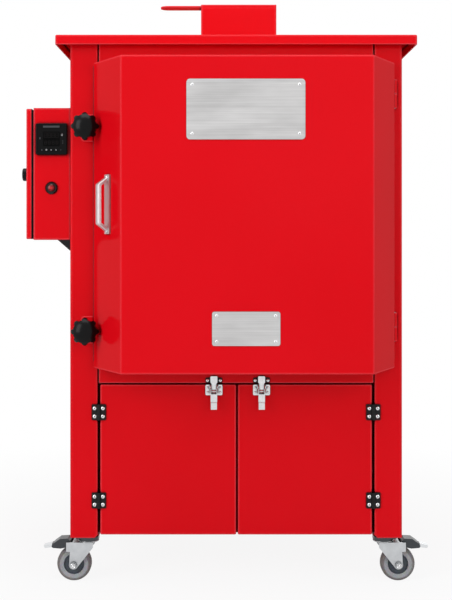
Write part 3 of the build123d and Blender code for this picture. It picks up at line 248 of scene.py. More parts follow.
# Lining: insulating firebrick, 230 x 114 mm, dipped in thin white mortar. It is
# sawn to size, so it is matt, slightly uneven in tone and full of fine pores.
for side, across, up, pieces in (
    ("sides", "Y", "Z", ("lining_left", "lining_right")),
    ("back", "X", "Z", ("lining_back", "door_insulation")),
    ("flat", "X", "Y", ("lining_floor", "lining_roof")),
):
    brick = new_material(f"insulating_firebrick_{side}")
    tree = brick.node_tree
    place = add(tree, "ShaderNodeTexCoord").outputs["Object"]
    split = add(tree, "ShaderNodeSeparateXYZ", {0: place})
    face = add(tree, "ShaderNodeCombineXYZ", {0: split.outputs[across], 1: split.outputs[up]})
    joints = add(tree, "ShaderNodeTexBrick", {
        "Vector": face.outputs[0], "Color1": linear("#E6DBC2"), "Color2": linear("#EEE5D0"),
        "Mortar": linear("#CFC4AC"), "Scale": 1.0, "Mortar Size": 0.0009, "Mortar Smooth": 0.4,
        "Brick Width": 0.23, "Row Height": 0.1,
    }, offset=0.5)
    pores = add(tree, "ShaderNodeTexNoise", {"Vector": place, "Scale": 450, "Detail": 4.0})    # 2.2 mm
    cloud = add(tree, "ShaderNodeTexNoise", {"Vector": place, "Scale": 14, "Detail": 3.0})     # 70 mm
    warm = add(tree, "ShaderNodeMix", {
        "Factor": cloud.outputs["Fac"], 6: linear("#FFFFFF"), 7: linear("#E2D2B4"),
    }, data_type="RGBA")
    tone = add(tree, "ShaderNodeMix", {
        "Factor": 0.5, 6: joints.outputs["Color"], 7: warm.outputs[2],
    }, data_type="RGBA", blend_type="MULTIPLY")
    depth = add(tree, "ShaderNodeMath", {0: pores.outputs["Fac"], 1: joints.outputs["Fac"]},
                operation="SUBTRACT")
    skin = add(tree, "ShaderNodeBump", {"Height": depth.outputs[0], "Strength": 0.5, "Distance": 0.0012})
    shader = add(tree, "ShaderNodeBsdfPrincipled", {
        "Base Color": tone.outputs[2], "Roughness": 0.95, "Normal": skin.outputs[0],
    })
    add(tree, "ShaderNodeOutputMaterial", {"Surface": shader.outputs[0]})
    dress(brick, *pieces)

# Heating elements: wire of an iron-chrome-aluminium alloy, 3 mm thick, wound into
# coils that lie in the grooves; straight tails go out through the back wall. In
# use the wire grows a dark grey, matt skin of oxide.
element_wire = new_material("oxidised_resistance_wire")
tree = element_wire.node_tree
place = add(tree, "ShaderNodeTexCoord").outputs["Object"]
scale = add(tree, "ShaderNodeTexNoise", {"Vector": place, "Scale": 120, "Detail": 3.0})
tone = add(tree, "ShaderNodeMix", {
    "Factor": scale.outputs["Fac"], 6: linear("#4A4643"), 7: linear("#857D76"),
}, data_type="RGBA")
shader = add(tree, "ShaderNodeBsdfPrincipled", {
    "Base Color": tone.outputs[2], "Roughness": 0.7, "Metallic": 0.6,
})
add(tree, "ShaderNodeOutputMaterial", {"Surface": shader.outputs[0]})


def apply_all(made):
    """Applies a piece's modifiers in their order."""
    bpy.ops.object.select_all(action="DESELECT")
    made.select_set(True)
    bpy.context.view_layer.objects.active = made
    for step in list(made.modifiers):
        bpy.ops.object.modifier_apply(modifier=step.name)


def settle(made, matrix=None):
    """Puts a piece's place into its mesh, so that its object sits at the origin."""
    made.data.transform((matrix or Matrix()) @ made.matrix_basis)
    made.matrix_basis = Matrix()
    return made


def join(pieces, name):
    """Joins pieces into the first one."""
    bpy.ops.object.select_all(action="DESELECT")
    for piece in pieces:
        piece.select_set(True)
    bpy.context.view_layer.objects.active = pieces[0]
    bpy.ops.object.join()
    pieces[0].name = pieces[0].data.name = name
    return pieces[0]


def smooth(made, angle=35):
    """Smooth shading, with edges sharper than the angle kept."""
    bpy.ops.object.select_all(action="DESELECT")
    made.select_set(True)
    bpy.context.view_layer.objects.active = made
    bpy.ops.object.shade_smooth_by_angle(angle=math.radians(angle))
    return made


def placed_copy(piece, matrix):
    """A copy of a piece with its own mesh, put in its place."""
    copy = piece.copy()
    copy.data = piece.data.copy()
    bpy.context.scene.collection.objects.link(copy)
    copy.data.transform(matrix)
    return copy


WIRE = 0.0014              # radius of the wire
COIL = 0.0064              # radius of the coil over its wire
PITCH = 0.0075             # from turn to turn
TAIL = 0.003               # radius of the straight tails
TAIL_LAP = 0.006           # how far each tail reaches into its coil
COIL_INSET = 0.0065        # from the outer side of the elements to a coil's middle
LOWEST_COIL = 0.6535       # height of the lowest coil's middle
COURSE = 0.1               # a brick's height: one coil in each of the five courses
FRONT_GAP = 0.0015         # from the front end of the groove to the first turn
BACK_GAP = 0.008           # from the last turn to the back wall
low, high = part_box("heating_elements")
chamber_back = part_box("lining_back")[0].y
coil_start, coil_end, tail_end = low.y, chamber_back - BACK_GAP, high.y
TURNS = int((coil_end - coil_start - 0.002) / PITCH)
coil = primitive("circle", "coil", vertices=6, radius=WIRE, location=(COIL - WIRE, 0, 0),
                 rotation=(math.radians(90), 0, 0))
settle(coil)
winding = coil.modifiers.new("winding", "SCREW")
winding.axis = "Y"
winding.screw_offset = PITCH
winding.iterations = TURNS
winding.steps = winding.render_steps = 10
winding.use_smooth_shade = True
apply_all(coil)
tail = primitive("cylinder", "tail", vertices=12, radius=TAIL, depth=tail_end - coil_end + 2 * TAIL_LAP,
                 location=(0, (tail_end + coil_end) / 2 - coil_start - TAIL_LAP, 0),
                 rotation=(math.radians(90), 0, 0))
bevel = tail.modifiers.new("bevel", "BEVEL")
bevel.width, bevel.segments = 0.0006, 2
settle(tail)
apply_all(tail)
coil = join([coil, tail], "coil")
coils = [
    placed_copy(coil, Matrix.Translation((x, coil_start + FRONT_GAP, LOWEST_COIL + COURSE * i)))
    for x in (low.x + COIL_INSET, high.x - COIL_INSET) for i in range(5)
]
bpy.data.objects.remove(coil)
coils = smooth(join(coils, "heating_coils"), 60)
coils.data.materials.clear()
coils.data.materials.append(element_wire)
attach(coils, "cabinet")
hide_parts("heating_elements")

# Thermocouple: a sheath of fired alumina that comes in through the back wall, with
# a cast aluminium head behind the lining. The ceramic is cream and faintly speckled.
sheath = new_material("alumina_with_cast_aluminium_head")
tree = sheath.node_tree
place = add(tree, "ShaderNodeTexCoord").outputs["Object"]
speck = add(tree, "ShaderNodeTexNoise", {"Vector": place, "Scale": 160, "Detail": 2.0})
tone = add(tree, "ShaderNodeMix", {
    "Factor": speck.outputs["Fac"], 6: linear("#D6D1C6"), 7: linear("#E8E4DB"),
}, data_type="RGBA")
head_start = at(0, 640.5, 0).y
is_head = add(tree, "ShaderNodeMath", {
    0: add(tree, "ShaderNodeSeparateXYZ", {0: place}).outputs["Y"], 1: head_start,
}, operation="GREATER_THAN")
tone = add(tree, "ShaderNodeMix", {
    "Factor": is_head.outputs[0], 6: tone.outputs[2], 7: linear("#B9BBBD"),
}, data_type="RGBA")
shader = add(tree, "ShaderNodeBsdfPrincipled", {
    "Base Color": tone.outputs[2], "Roughness": 0.45, "Metallic": is_head.outputs[0],
})
add(tree, "ShaderNodeOutputMaterial", {"Surface": shader.outputs[0]})
dress(sheath, "thermocouple")

# Door gasket: soft glass-fibre rope, about 20 x 13 mm, plaited from eight strands
# and glued round the door's back frame. It is white with a dull silky sheen.
glass_rope = new_material("plaited_glass_fibre")
tree = glass_rope.node_tree
place = add(tree, "ShaderNodeTexCoord").outputs["Object"]
yarn = add(tree, "ShaderNodeTexNoise", {"Vector": place, "Scale": 700, "Detail": 3.0})    # 1.4 mm
dust = add(tree, "ShaderNodeTexNoise", {"Vector": place, "Scale": 25, "Detail": 2.0})
tone = add(tree, "ShaderNodeMix", {
    "Factor": dust.outputs["Fac"], 6: linear("#D9D2C2"), 7: linear("#F0ECE2"),
}, data_type="RGBA")
skin = add(tree, "ShaderNodeBump", {"Height": yarn.outputs["Fac"], "Strength": 0.5, "Distance": 0.0006})
shader = add(tree, "ShaderNodeBsdfPrincipled", {
    "Base Color": tone.outputs[2], "Roughness": 0.85, "Normal": skin.outputs[0],
    "Sheen Weight": 0.3, "Sheen Roughness": 0.4,
})
add(tree, "ShaderNodeOutputMaterial", {"Surface": shader.outputs[0]})
low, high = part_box("door_gasket")
rope_wide, rope_deep = 0.020, high.y - low.y
half_w, half_h = (high.x - low.x - rope_wide) / 2, (high.z - low.z - rope_wide) / 2
centre = (low + high) / 2
CORNER = 0.020             # radius of the loop's corners
STRAND = 0.0031            # radius of a strand
TWISTS = 52                # turns of each strand round the rope: one in 42 mm
POINTS = 720               # along each strand
WEAVE = 0.06               # share by which crossing strands pass over and under


def round_loop(share):
    """A point on the rope's middle line and the direction across it, at a share of its length."""
    runs = [2 * (half_h - CORNER), math.pi / 2 * CORNER, 2 * (half_w - CORNER), math.pi / 2 * CORNER] * 2
    left = share % 1 * sum(runs)
    heading = math.pi / 2
    x, z = half_w, -(half_h - CORNER)
    for i, run in enumerate(runs):
        step = min(left, run)
        if i % 2 == 0:
            x, z = x + math.cos(heading) * step, z + math.sin(heading) * step
        else:
            turn = step / CORNER
            cx, cz = x - math.sin(heading) * CORNER, z + math.cos(heading) * CORNER
            heading += turn
            x, z = cx + math.sin(heading) * CORNER, cz - math.cos(heading) * CORNER
        left -= step
        if left <= 0:
            break
    return x, z, math.sin(heading), -math.cos(heading)


strands = []
for i in range(8):
    way = 1 if i % 2 else -1
    path = bpy.data.curves.new(f"strand_{i}", "CURVE")
    path.dimensions = "3D"
    path.bevel_depth, path.bevel_resolution = STRAND, 1
    line = path.splines.new("POLY")
    line.points.add(POINTS - 1)
    for k in range(POINTS):
        x, z, out_x, out_z = round_loop(k / POINTS)
        turned = 2 * math.pi * TWISTS * k / POINTS
        angle = way * turned + math.pi / 2 * (i // 2) + (0.4 if way > 0 else 0)
        weave = 1 + WEAVE * way * math.cos(4 * turned)
        across = (rope_wide / 2 - STRAND) * math.cos(angle) * weave
        deep = (rope_deep / 2 - STRAND) * math.sin(angle)
        line.points[k].co = (
            centre.x + x + out_x * across, centre.y + deep, centre.z + z + out_z * across, 1,
        )
    line.use_cyclic_u = True
    holder = bpy.data.objects.new(path.name, path)
    bpy.context.scene.collection.objects.link(holder)
    bpy.context.view_layer.update()
    mesh = bpy.data.meshes.new_from_object(holder)
    bpy.data.objects.remove(holder)
    strand = bpy.data.objects.new(mesh.name, mesh)
    bpy.context.scene.collection.objects.link(strand)
    strands.append(strand)
rope = smooth(join(strands, "door_rope"), 80)
rope.data.materials.clear()
rope.data.materials.append(glass_rope)
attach(rope, "main_door")
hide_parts("door_gasket")

# Bright screws: zinc-plated, button-headed, with a crossed recess. They hold the
# hinges, the latches, the handle and the two plates.
bright_zinc = new_material("bright_zinc_plate")
tree = bright_zinc.node_tree
place = add(tree, "ShaderNodeTexCoord").outputs["Object"]
smear = add(tree, "ShaderNodeTexNoise", {"Vector": place, "Scale": 110, "Detail": 2.0})
tone = add(tree, "ShaderNodeMix", {
    "Factor": smear.outputs["Fac"], 6: linear("#CBCCCE"), 7: linear("#E6E7E8"),
}, data_type="RGBA")
# Recesses and the seams between parts darken towards dark grey: painted shade.
tone = paint_nook_shade(tree, tone, 0.006, 6, 0.35, 0.85, "#4A4C4E")
gloss = add(tree, "ShaderNodeMapRange", {"Value": smear.outputs["Fac"], "To Min": 0.16, "To Max": 0.3})
shader = add(tree, "ShaderNodeBsdfPrincipled", {
    "Base Color": tone.outputs[2], "Roughness": gloss.outputs[0], "Metallic": 1.0,
})
add(tree, "ShaderNodeOutputMaterial", {"Surface": shader.outputs[0]})


def pick_faces(made, test):
    """Selects the faces for which the test of centre and normal holds, and opens edit mode on them."""
    bpy.ops.object.select_all(action="DESELECT")
    made.select_set(True)
    bpy.context.view_layer.objects.active = made
    bpy.ops.object.mode_set(mode="EDIT")
    bpy.ops.mesh.select_mode(type="FACE")
    bpy.ops.mesh.select_all(action="DESELECT")
    bpy.ops.object.mode_set(mode="OBJECT")
    for face in made.data.polygons:
        face.select = bool(test(face.center, face.normal))
    bpy.ops.object.mode_set(mode="EDIT")


def pick_edges(made, test):
    """Selects the edges for which the test of both ends holds, and opens edit mode on them."""
    bpy.ops.object.select_all(action="DESELECT")
    made.select_set(True)
    bpy.context.view_layer.objects.active = made
    bpy.ops.object.mode_set(mode="EDIT")
    bpy.ops.mesh.select_mode(type="EDGE")
    bpy.ops.mesh.select_all(action="DESELECT")
    bpy.ops.object.mode_set(mode="OBJECT")
    points = made.data.vertices
    for edge in made.data.edges:
        edge.select = bool(test(*(points[i].co for i in edge.vertices)))
    bpy.ops.object.mode_set(mode="EDIT")


def leave_edit():
    bpy.ops.object.mode_set(mode="OBJECT")


def button_screw():
    """A button head of 1 m radius that faces up, with a crossed recess; its copies are scaled down."""
    head = primitive("cylinder", "screw", vertices=24, radius=1, depth=0.5, location=(0, 0, 0.25))
    pick_faces(head, lambda c, n: n.z > 0.9)
    for inset, lift in ((0.16, 0.16), (0.22, 0.1), (0.3, 0.05)):
        bpy.ops.mesh.inset(thickness=inset)
        bpy.ops.transform.translate(value=(0, 0, lift))
    leave_edit()
    slots = []
    for angle in (0, 90):
        slot = primitive("cube", "recess", size=1, location=(0, 0, 0.8),
                         rotation=(0, 0, math.radians(angle)))
        slot.dimensions = (0.95, 0.2, 0.6)
        bpy.context.view_layer.update()
        bpy.ops.object.transform_apply(location=True, rotation=True, scale=True)
        slots.append(slot)
    for slot in slots:
        cut = head.modifiers.new("cut", "BOOLEAN")
        cut.operation, cut.object, cut.solver = "DIFFERENCE", slot, "EXACT"
    apply_all(head)
    for slot in slots:
        bpy.data.objects.remove(slot)
    settle(head)
    head.data.materials.clear()
    head.data.materials.append(bright_zinc)
    return head


screw = button_screw()
FACING = {
    "front": Matrix.Rotation(math.radians(90), 4, "X"),
    "left": Matrix.Rotation(math.radians(-90), 4, "Y"),
    "back": Matrix.Rotation(math.radians(-90), 4, "X"),
}


def set_screws(name, body, radius, places, facing=FACING["front"]):
    """Copies of the screw, joined, with their heads' undersides at the given points; radius in mm.

    Each recess stands at its own angle, as the screwdriver left it.
    """
    made = []
    for i, point in enumerate(places):
        turn = Matrix.Rotation(0.7 * i + 0.2, 4, "Z")
        size = Matrix.Scale(radius / 1000, 4)
        made.append(placed_copy(screw, Matrix.Translation(point) @ facing @ turn @ size))
    group = smooth(join(made, name), 40)
    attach(group, body)
    return group


# Handle: a strip and a folded bow of satin anodised aluminium on the left slope,
# held by two screws. Anodising leaves a fine, even, silvery satin.
satin = new_material("satin_anodised_aluminium")
tree = satin.node_tree
place = add(tree, "ShaderNodeTexCoord").outputs["Object"]
grain = add(tree, "ShaderNodeTexNoise", {"Vector": place, "Scale": 900, "Detail": 2.0})
gloss = add(tree, "ShaderNodeMapRange", {"Value": grain.outputs["Fac"], "To Min": 0.34, "To Max": 0.5})
tone = add(tree, "ShaderNodeMix", {
    "Factor": grain.outputs["Fac"], 6: linear("#BFC0C2"), 7: linear("#D2D3D4"),
}, data_type="RGBA")
shader = add(tree, "ShaderNodeBsdfPrincipled", {
    "Base Color": tone.outputs[2], "Roughness": gloss.outputs[0], "Metallic": 1.0,
})
add(tree, "ShaderNodeOutputMaterial", {"Surface": shader.outputs[0]})
dress(satin, "door_handle")

SLOPE_REAR, SLOPE_FRONT = (-323.9, -30), (-252.5, -152)    # x and y of the left slope's edges
HANDLE_Z = 876
STRIP_THICK = 0.004
HANDLE_SCREW = 0.0602      # from the handle's middle to each screw
slope = at(*SLOPE_FRONT, 0) - at(*SLOPE_REAR, 0)
slope_out = Vector((slope.y, -slope.x, 0)).normalized()
strip_face = at(*SLOPE_REAR, HANDLE_Z) + slope * 0.55 + slope_out * STRIP_THICK
slope_facing = slope_out.to_track_quat("Z", "Y").to_matrix().to_4x4()
points = [strip_face + Vector((0, 0, dz)) for dz in (-HANDLE_SCREW, HANDLE_SCREW)]
set_screws("handle_screws", "main_door", 4.2, points, slope_facing)

# Plates: two bare aluminium plates, brushed along their length and screwed to the
# door at their corners. Brushing leaves fine streaks a few tenths of a mm high.
brushed = new_material("brushed_aluminium")
tree = brushed.node_tree
place = add(tree, "ShaderNodeTexCoord").outputs["Object"]
along = add(tree, "ShaderNodeMapping", {"Vector": place, "Scale": (6, 1, 900)})
streaks = add(tree, "ShaderNodeTexNoise", {"Vector": along.outputs[0], "Scale": 1.0, "Detail": 3.0})
bands = add(tree, "ShaderNodeMapping", {"Vector": place, "Scale": (9, 1, 30)})
broad = add(tree, "ShaderNodeTexNoise", {"Vector": bands.outputs[0], "Scale": 1.0, "Detail": 2.0})
both = add(tree, "ShaderNodeMath", {0: streaks.outputs["Fac"], 1: broad.outputs["Fac"]}, operation="ADD")
level = add(tree, "ShaderNodeMapRange", {"Value": both.outputs[0], "From Min": 0.7, "From Max": 1.3})
tone = add(tree, "ShaderNodeMix", {
    "Factor": level.outputs[0], 6: linear("#B4B3B3"), 7: linear("#CDCCCC"),
}, data_type="RGBA")
gloss = add(tree, "ShaderNodeMapRange", {"Value": streaks.outputs["Fac"], "To Min": 0.3, "To Max": 0.5})
shader = add(tree, "ShaderNodeBsdfPrincipled", {
    "Base Color": tone.outputs[2], "Roughness": gloss.outputs[0], "Metallic": 1.0, "Anisotropic": 0.5,
})
add(tree, "ShaderNodeOutputMaterial", {"Surface": shader.outputs[0]})
dress(brushed, "nameplates")
PLATE_SINK = 0.0019        # the screws' heads sit in countersinks
PLATES = ((20, 1081.75, 116.8, 53.4), (20.7, 604.35, 64, 28))    # middle, and from it to the screws
points = [
    at(x + right * across, 0, z + above * up)
    for x, z, across, up in PLATES for right in (-1, 1) for above in (-1, 1)
]
for point in points:
    point.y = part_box("nameplates")[0].y + PLATE_SINK
set_screws("plate_screws", "main_door", 3.6, points)

# Back panel: a flat sheet, screwed to the casing's rear flanges along its edge, with
# the same bright button heads as on the front, one size larger.
SCREW_ROWS = (126, 400, 677, 954, 1229)
points = [at(x, 0, z) for x in (-361, 361) for z in SCREW_ROWS]
points += [at(x, 0, z) for x in (-180, 0, 180) for z in (SCREW_ROWS[0], SCREW_ROWS[-1])]
for point in points:
    point.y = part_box("back_panel")[1].y
set_screws("back_panel_screws", "cabinet", 4.6, points, FACING["back"])

# Star knobs: glass-filled polyamide, moulded black with a fine matt grain, on
# zinc-plated M12 studs.
STUD_FROM = at(0, -24.6, 0).y      # the studs are bare behind this plane
for name, pieces in (
    ("black_glass_filled_nylon", ("lid_lock", "cable_gland")),
    ("black_nylon_on_zinc_stud", ("clamp_knob_lower", "clamp_knob_upper")),
):
    nylon = new_material(name)
    tree = nylon.node_tree
    place = add(tree, "ShaderNodeTexCoord").outputs["Object"]
    grain = add(tree, "ShaderNodeTexNoise", {"Vector": place, "Scale": 800, "Detail": 2.0})
    gloss = add(tree, "ShaderNodeMapRange", {"Value": grain.outputs["Fac"], "To Min": 0.18, "To Max": 0.28})
    skin = add(tree, "ShaderNodeBump", {"Height": grain.outputs["Fac"], "Strength": 0.12, "Distance": 0.0003})
    colour, metallic = linear("#070708"), 0.0
    if name.endswith("stud"):
        deep = add(tree, "ShaderNodeSeparateXYZ", {0: place}).outputs["Y"]
        metallic = add(tree, "ShaderNodeMath", {0: deep, 1: STUD_FROM}, operation="GREATER_THAN").outputs[0]
        colour = add(tree, "ShaderNodeMix", {
            "Factor": metallic, 6: colour, 7: linear("#C4C6C8"),
        }, data_type="RGBA").outputs[2]
    shader = add(tree, "ShaderNodeBsdfPrincipled", {
        "Base Color": colour, "Roughness": gloss.outputs[0], "Normal": skin.outputs[0],
        "Metallic": metallic, "Specular IOR Level": 0.14,
    })
    add(tree, "ShaderNodeOutputMaterial", {"Surface": shader.outputs[0]})
    dress(nylon, *pieces)

# Hinges of the main door: steel barrels welded on and painted with the casing,
# with bright steel pins.
drawn_steel = new_material("drawn_steel")
tree = drawn_steel.node_tree
place = add(tree, "ShaderNodeTexCoord").outputs["Object"]
lines = add(tree, "ShaderNodeMapping", {"Vector": place, "Scale": (500, 500, 12)})
grain = add(tree, "ShaderNodeTexNoise", {"Vector": lines.outputs[0], "Scale": 1.0, "Detail": 2.0})
gloss = add(tree, "ShaderNodeMapRange", {"Value": grain.outputs["Fac"], "To Min": 0.22, "To Max": 0.42})
shader = add(tree, "ShaderNodeBsdfPrincipled", {
    "Base Color": linear("#A5A8AB"), "Roughness": gloss.outputs[0], "Metallic": 1.0,
})
add(tree, "ShaderNodeOutputMaterial", {"Surface": shader.outputs[0]})
dress(drawn_steel, "door_hinge_pins")

# Cupboard hinges: zinc castings in satin black paint, two leaves each, with four
# bright screws.
black_paint = new_material("satin_black_paint")
tree = black_paint.node_tree
place = add(tree, "ShaderNodeTexCoord").outputs["Object"]
grain = add(tree, "ShaderNodeTexNoise", {"Vector": place, "Scale": 420, "Detail": 2.0})
gloss = add(tree, "ShaderNodeMapRange", {"Value": grain.outputs["Fac"], "To Min": 0.3, "To Max": 0.46})
skin = add(tree, "ShaderNodeBump", {"Height": grain.outputs["Fac"], "Strength": 0.15, "Distance": 0.0004})
shader = add(tree, "ShaderNodeBsdfPrincipled", {
    "Base Color": linear("#0C0D0E"), "Roughness": gloss.outputs[0], "Normal": skin.outputs[0],
    "Specular IOR Level": 0.22,
})
add(tree, "ShaderNodeOutputMaterial", {"Surface": shader.outputs[0]})
dress(
    black_paint, "cupboard_hinge_plates", "cupboard_hinge_leaves_left",
    "cupboard_hinge_leaves_right", "control_box_gussets",
)
HINGE_X, HINGE_Z = 315.75, (196.85, 399.85)    # each hinge's pin and middle
LEAF_FRONT = -3
SCREW_X, SCREW_Z = 9.4, 9.2                    # from there to its screws
fixed, moving = [], {"left": [], "right": []}
for side, sign in (("left", -1), ("right", 1)):
    for z in HINGE_Z:
        for dz in (-SCREW_Z, SCREW_Z):
            fixed.append(at(sign * (HINGE_X + SCREW_X), LEAF_FRONT, z + dz))
            moving[side].append(at(sign * (HINGE_X - SCREW_X), LEAF_FRONT, z + dz))
set_screws("hinge_screws_casing", "cabinet", 4.3, fixed)
for side, points in moving.items():
    set_screws(f"hinge_screws_{side}", f"cupboard_door_{side}", 4.3, points)

# Toggle latches: pressed steel in bright zinc plate. The base is screwed to the
# door, and the hook is pinned to the lever and catches the black keeper over the
# doors. A bead crosses the lever near its tip.
dress(
    bright_zinc, "latch_base_left", "latch_base_right", "latch_lever_left", "latch_lever_right",
    "latch_hook_left", "latch_hook_right",
)
dress(black_paint, "latch_keepers")
LATCH_X = (("left", -51), ("right", 58.5))
keeper_points = []
for side, x in LATCH_X:
    points = [at(x + dx, -2, z) for dx in (-14.2, 14.2) for z in (445.5, 456.5)]
    set_screws(f"latch_screws_{side}", f"cupboard_door_{side}", 2.6, points)
    keeper_points += [at(x + dx, -1.5, 473.2) for dx in (-14.5, 14.5)]
set_screws("keeper_screws", "cabinet", 3.6, keeper_points)
for side, x in LATCH_X:
    bead = primitive("cylinder", f"lever_bead_{side}", vertices=16, radius=0.001, depth=0.0142,
                     location=at(x, -16.8, 424), rotation=(0, math.radians(90), 0))
    settle(bead)
    pick_edges(bead, lambda a, b: abs(a.x - b.x) < 1e-6)
    bpy.ops.mesh.bevel(offset=0.0004, segments=2, affect="EDGES")
    leave_edit()
    bead.data.materials.append(bright_zinc)
    smooth(bead, 40)
    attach(bead, f"latch_lever_{side}")

# Temperature controller: a 72 mm panel unit with a black moulded bezel, a glossy
# face with a dark display, and three keys.
face_plastic = new_material("polished_black_abs")
tree = face_plastic.node_tree
place = add(tree, "ShaderNodeTexCoord").outputs["Object"]
smudge = add(tree, "ShaderNodeTexNoise", {"Vector": place, "Scale": 90, "Detail": 3.0})
gloss = add(tree, "ShaderNodeMapRange", {"Value": smudge.outputs["Fac"], "To Min": 0.1, "To Max": 0.26})
shader = add(tree, "ShaderNodeBsdfPrincipled", {
    "Base Color": linear("#060607"), "Roughness": gloss.outputs[0], "Specular IOR Level": 0.12,
})
add(tree, "ShaderNodeOutputMaterial", {"Surface": shader.outputs[0]})
dress(face_plastic, "temperature_controller", "controller_key_set", "controller_key_down",
      "controller_key_up")

# Its face: a bezel frame, a window of smoked acrylic over two rows of unlit
# seven-segment digits, a blank grey strip, and pale printed marks.
smoked = new_material("smoked_acrylic_window")
tree = smoked.node_tree
place = add(tree, "ShaderNodeTexCoord").outputs["Object"]
dust = add(tree, "ShaderNodeTexNoise", {"Vector": place, "Scale": 320, "Detail": 3.0})
gloss = add(tree, "ShaderNodeMapRange", {"Value": dust.outputs["Fac"], "To Min": 0.03, "To Max": 0.12})
shader = add(tree, "ShaderNodeBsdfPrincipled", {
    "Base Color": linear("#010101"), "Roughness": gloss.outputs[0], "Specular IOR Level": 0.06,
})
add(tree, "ShaderNodeOutputMaterial", {"Surface": shader.outputs[0]})


def printed_ink(name, dark, pale):
    """An ink of a slightly uneven tone, pad-printed."""
    ink = new_material(name)
    tree = ink.node_tree
    place = add(tree, "ShaderNodeTexCoord").outputs["Object"]
    cover = add(tree, "ShaderNodeTexNoise", {"Vector": place, "Scale": 900, "Detail": 2.0})
    tone = add(tree, "ShaderNodeMix", {
        "Factor": cover.outputs["Fac"], 6: linear(dark), 7: linear(pale),
    }, data_type="RGBA")
    shader = add(tree, "ShaderNodeBsdfPrincipled", {
        "Base Color": tone.outputs[2], "Roughness": 0.5, "Specular IOR Level": 0.12,
    })
    add(tree, "ShaderNodeOutputMaterial", {"Surface": shader.outputs[0]})
    return ink


white_ink = printed_ink("white_pad_print", "#A8ABAD", "#D4D6D7")
grey_ink = printed_ink("grey_pad_print", "#3E4043", "#55585B")
unlit = printed_ink("unlit_segment", "#050404", "#100B0C")
panel = at(-425.6, 0, 1028.6)
panel_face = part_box("temperature_controller")[0].y
recess = panel_face + 0.001


def slab(name, x, z, wide, high, low, thick, corner, made):
    """A plate on the controller's face with rounded corners and softened edges; low is its back."""
    piece = primitive("cube", name, size=1)
    piece.dimensions = (wide / 1000, thick / 1000, high / 1000)
    piece.location = (panel.x + x / 1000, low - thick / 2000, panel.z + z / 1000)
    bpy.context.view_layer.update()
    bpy.ops.object.transform_apply(location=True, rotation=True, scale=True)
    pick_edges(piece, lambda a, b: abs(a.y - b.y) > 1e-6)
    bpy.ops.mesh.bevel(offset=corner / 1000, segments=4, affect="EDGES")
    leave_edit()
    if thick > 0.3:        # a moulded plate and no print
        pick_faces(piece, lambda c, n: n.y < -0.9)
        bpy.ops.mesh.inset(thickness=0.0003)
        bpy.ops.transform.translate(value=(0, -0.0002, 0))
        leave_edit()
    piece.data.materials.append(made)
    return piece


face_pieces = [
    slab("controller_window", 0, 0.6, 38.5, 34.5, recess, 0.6, 1.6, smoked),
    slab("blank_strip", 0, 28.6, 38, 4.4, recess, 0.12, 0.6, grey_ink),
    slab("output_light", -26.2, 1.5, 2.4, 4.6, recess, 0.3, 0.8, grey_ink),
]
# A digit's seven segments: right and up of its middle in half widths and heights, and whether upright.
SEGMENTS = ((0, 1, 0), (0, 0, 0), (0, -1, 0), (-1, 0.5, 1), (1, 0.5, 1), (-1, -0.5, 1), (1, -0.5, 1))
STROKE = 1.2
FIRST_DIGIT, DIGIT_STEP = -13.2, 8.8
window_face = recess - 0.0008
for row_z, high in ((8.6, 12.0), (-8.4, 9.0)):
    for k in range(4):
        for right, above, upright in SEGMENTS:
            long = (high - 2) / 2 if upright else (high - STROKE) / 2
            wide, tall = (STROKE, long) if upright else (long, STROKE)
            face_pieces.append(slab(
                "segment", FIRST_DIGIT + DIGIT_STEP * k + right * (high / 4 + 0.2),
                row_z + above * (high - STROKE) / 2, wide, tall, window_face, 0.05, 0.5, unlit,
            ))


def mark(name, sides, x, z, radius, turn, low, made):
    """A printed polygon with its corners rounded; turn is in degrees."""
    piece = primitive("cylinder", name, vertices=sides, radius=radius / 1000, depth=0.0001,
                      location=(panel.x + x / 1000, low - 0.00005, panel.z + z / 1000),
                      rotation=(math.radians(90), math.radians(turn), 0))
    settle(piece)
    pick_edges(piece, lambda a, b: abs(a.y - b.y) > 1e-6)
    bpy.ops.mesh.bevel(offset=0.00015, segments=2, affect="EDGES")
    leave_edit()
    piece.data.materials.append(made)
    return piece


def ring_mark(name, x, z, radius, low, made):
    """A printed ring."""
    piece = primitive("torus", name, major_segments=28, minor_segments=6, major_radius=radius / 1000,
                      minor_radius=0.00035, location=(panel.x + x / 1000, low, panel.z + z / 1000),
                      rotation=(math.radians(90), 0, 0))
    piece.scale = (1, 1, 0.3)
    settle(piece)
    piece.data.materials.append(made)
    return piece


KEYS_Z = -25.2             # the row of keys, from the controller's middle
SET_X, DOWN_X, UP_X = -11.3, -0.2, 10.9
key_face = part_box("controller_key_set")[0].y
face_pieces.append(ring_mark("ring_mark", 24.6, 9.6, 1.9, recess, white_ink))
for i, z in enumerate((-4.4, -7.4, -10.4)):
    face_pieces.append(slab("stroke", 26.2, z, 3.4 - 0.6 * i, 0.7, recess, 0.1, 0.3, grey_ink))
for sides, x, turn in ((6, -21.8, 90), (3, 21.8, 30)):
    face_pieces.append(mark("corner_mark", sides, x, KEYS_Z, 1.7, turn, recess, grey_ink))
face_marks = join(face_pieces, "controller_face")
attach(face_marks, "cabinet")
key_mark = join([
    ring_mark("set_ring", SET_X, KEYS_Z, 1.5, key_face, white_ink),
    mark("set_dot", 12, SET_X, KEYS_Z, 0.55, 0, key_face, white_ink),
], "key_mark_set")
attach(key_mark, "controller_key_set")
for name, x, turn in (("down", DOWN_X, 180), ("up", UP_X, 0)):
    key_mark = mark(f"key_mark_{name}", 3, x, KEYS_Z - 0.2, 1.7, turn, key_face, white_ink)
    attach(key_mark, f"controller_key_{name}")
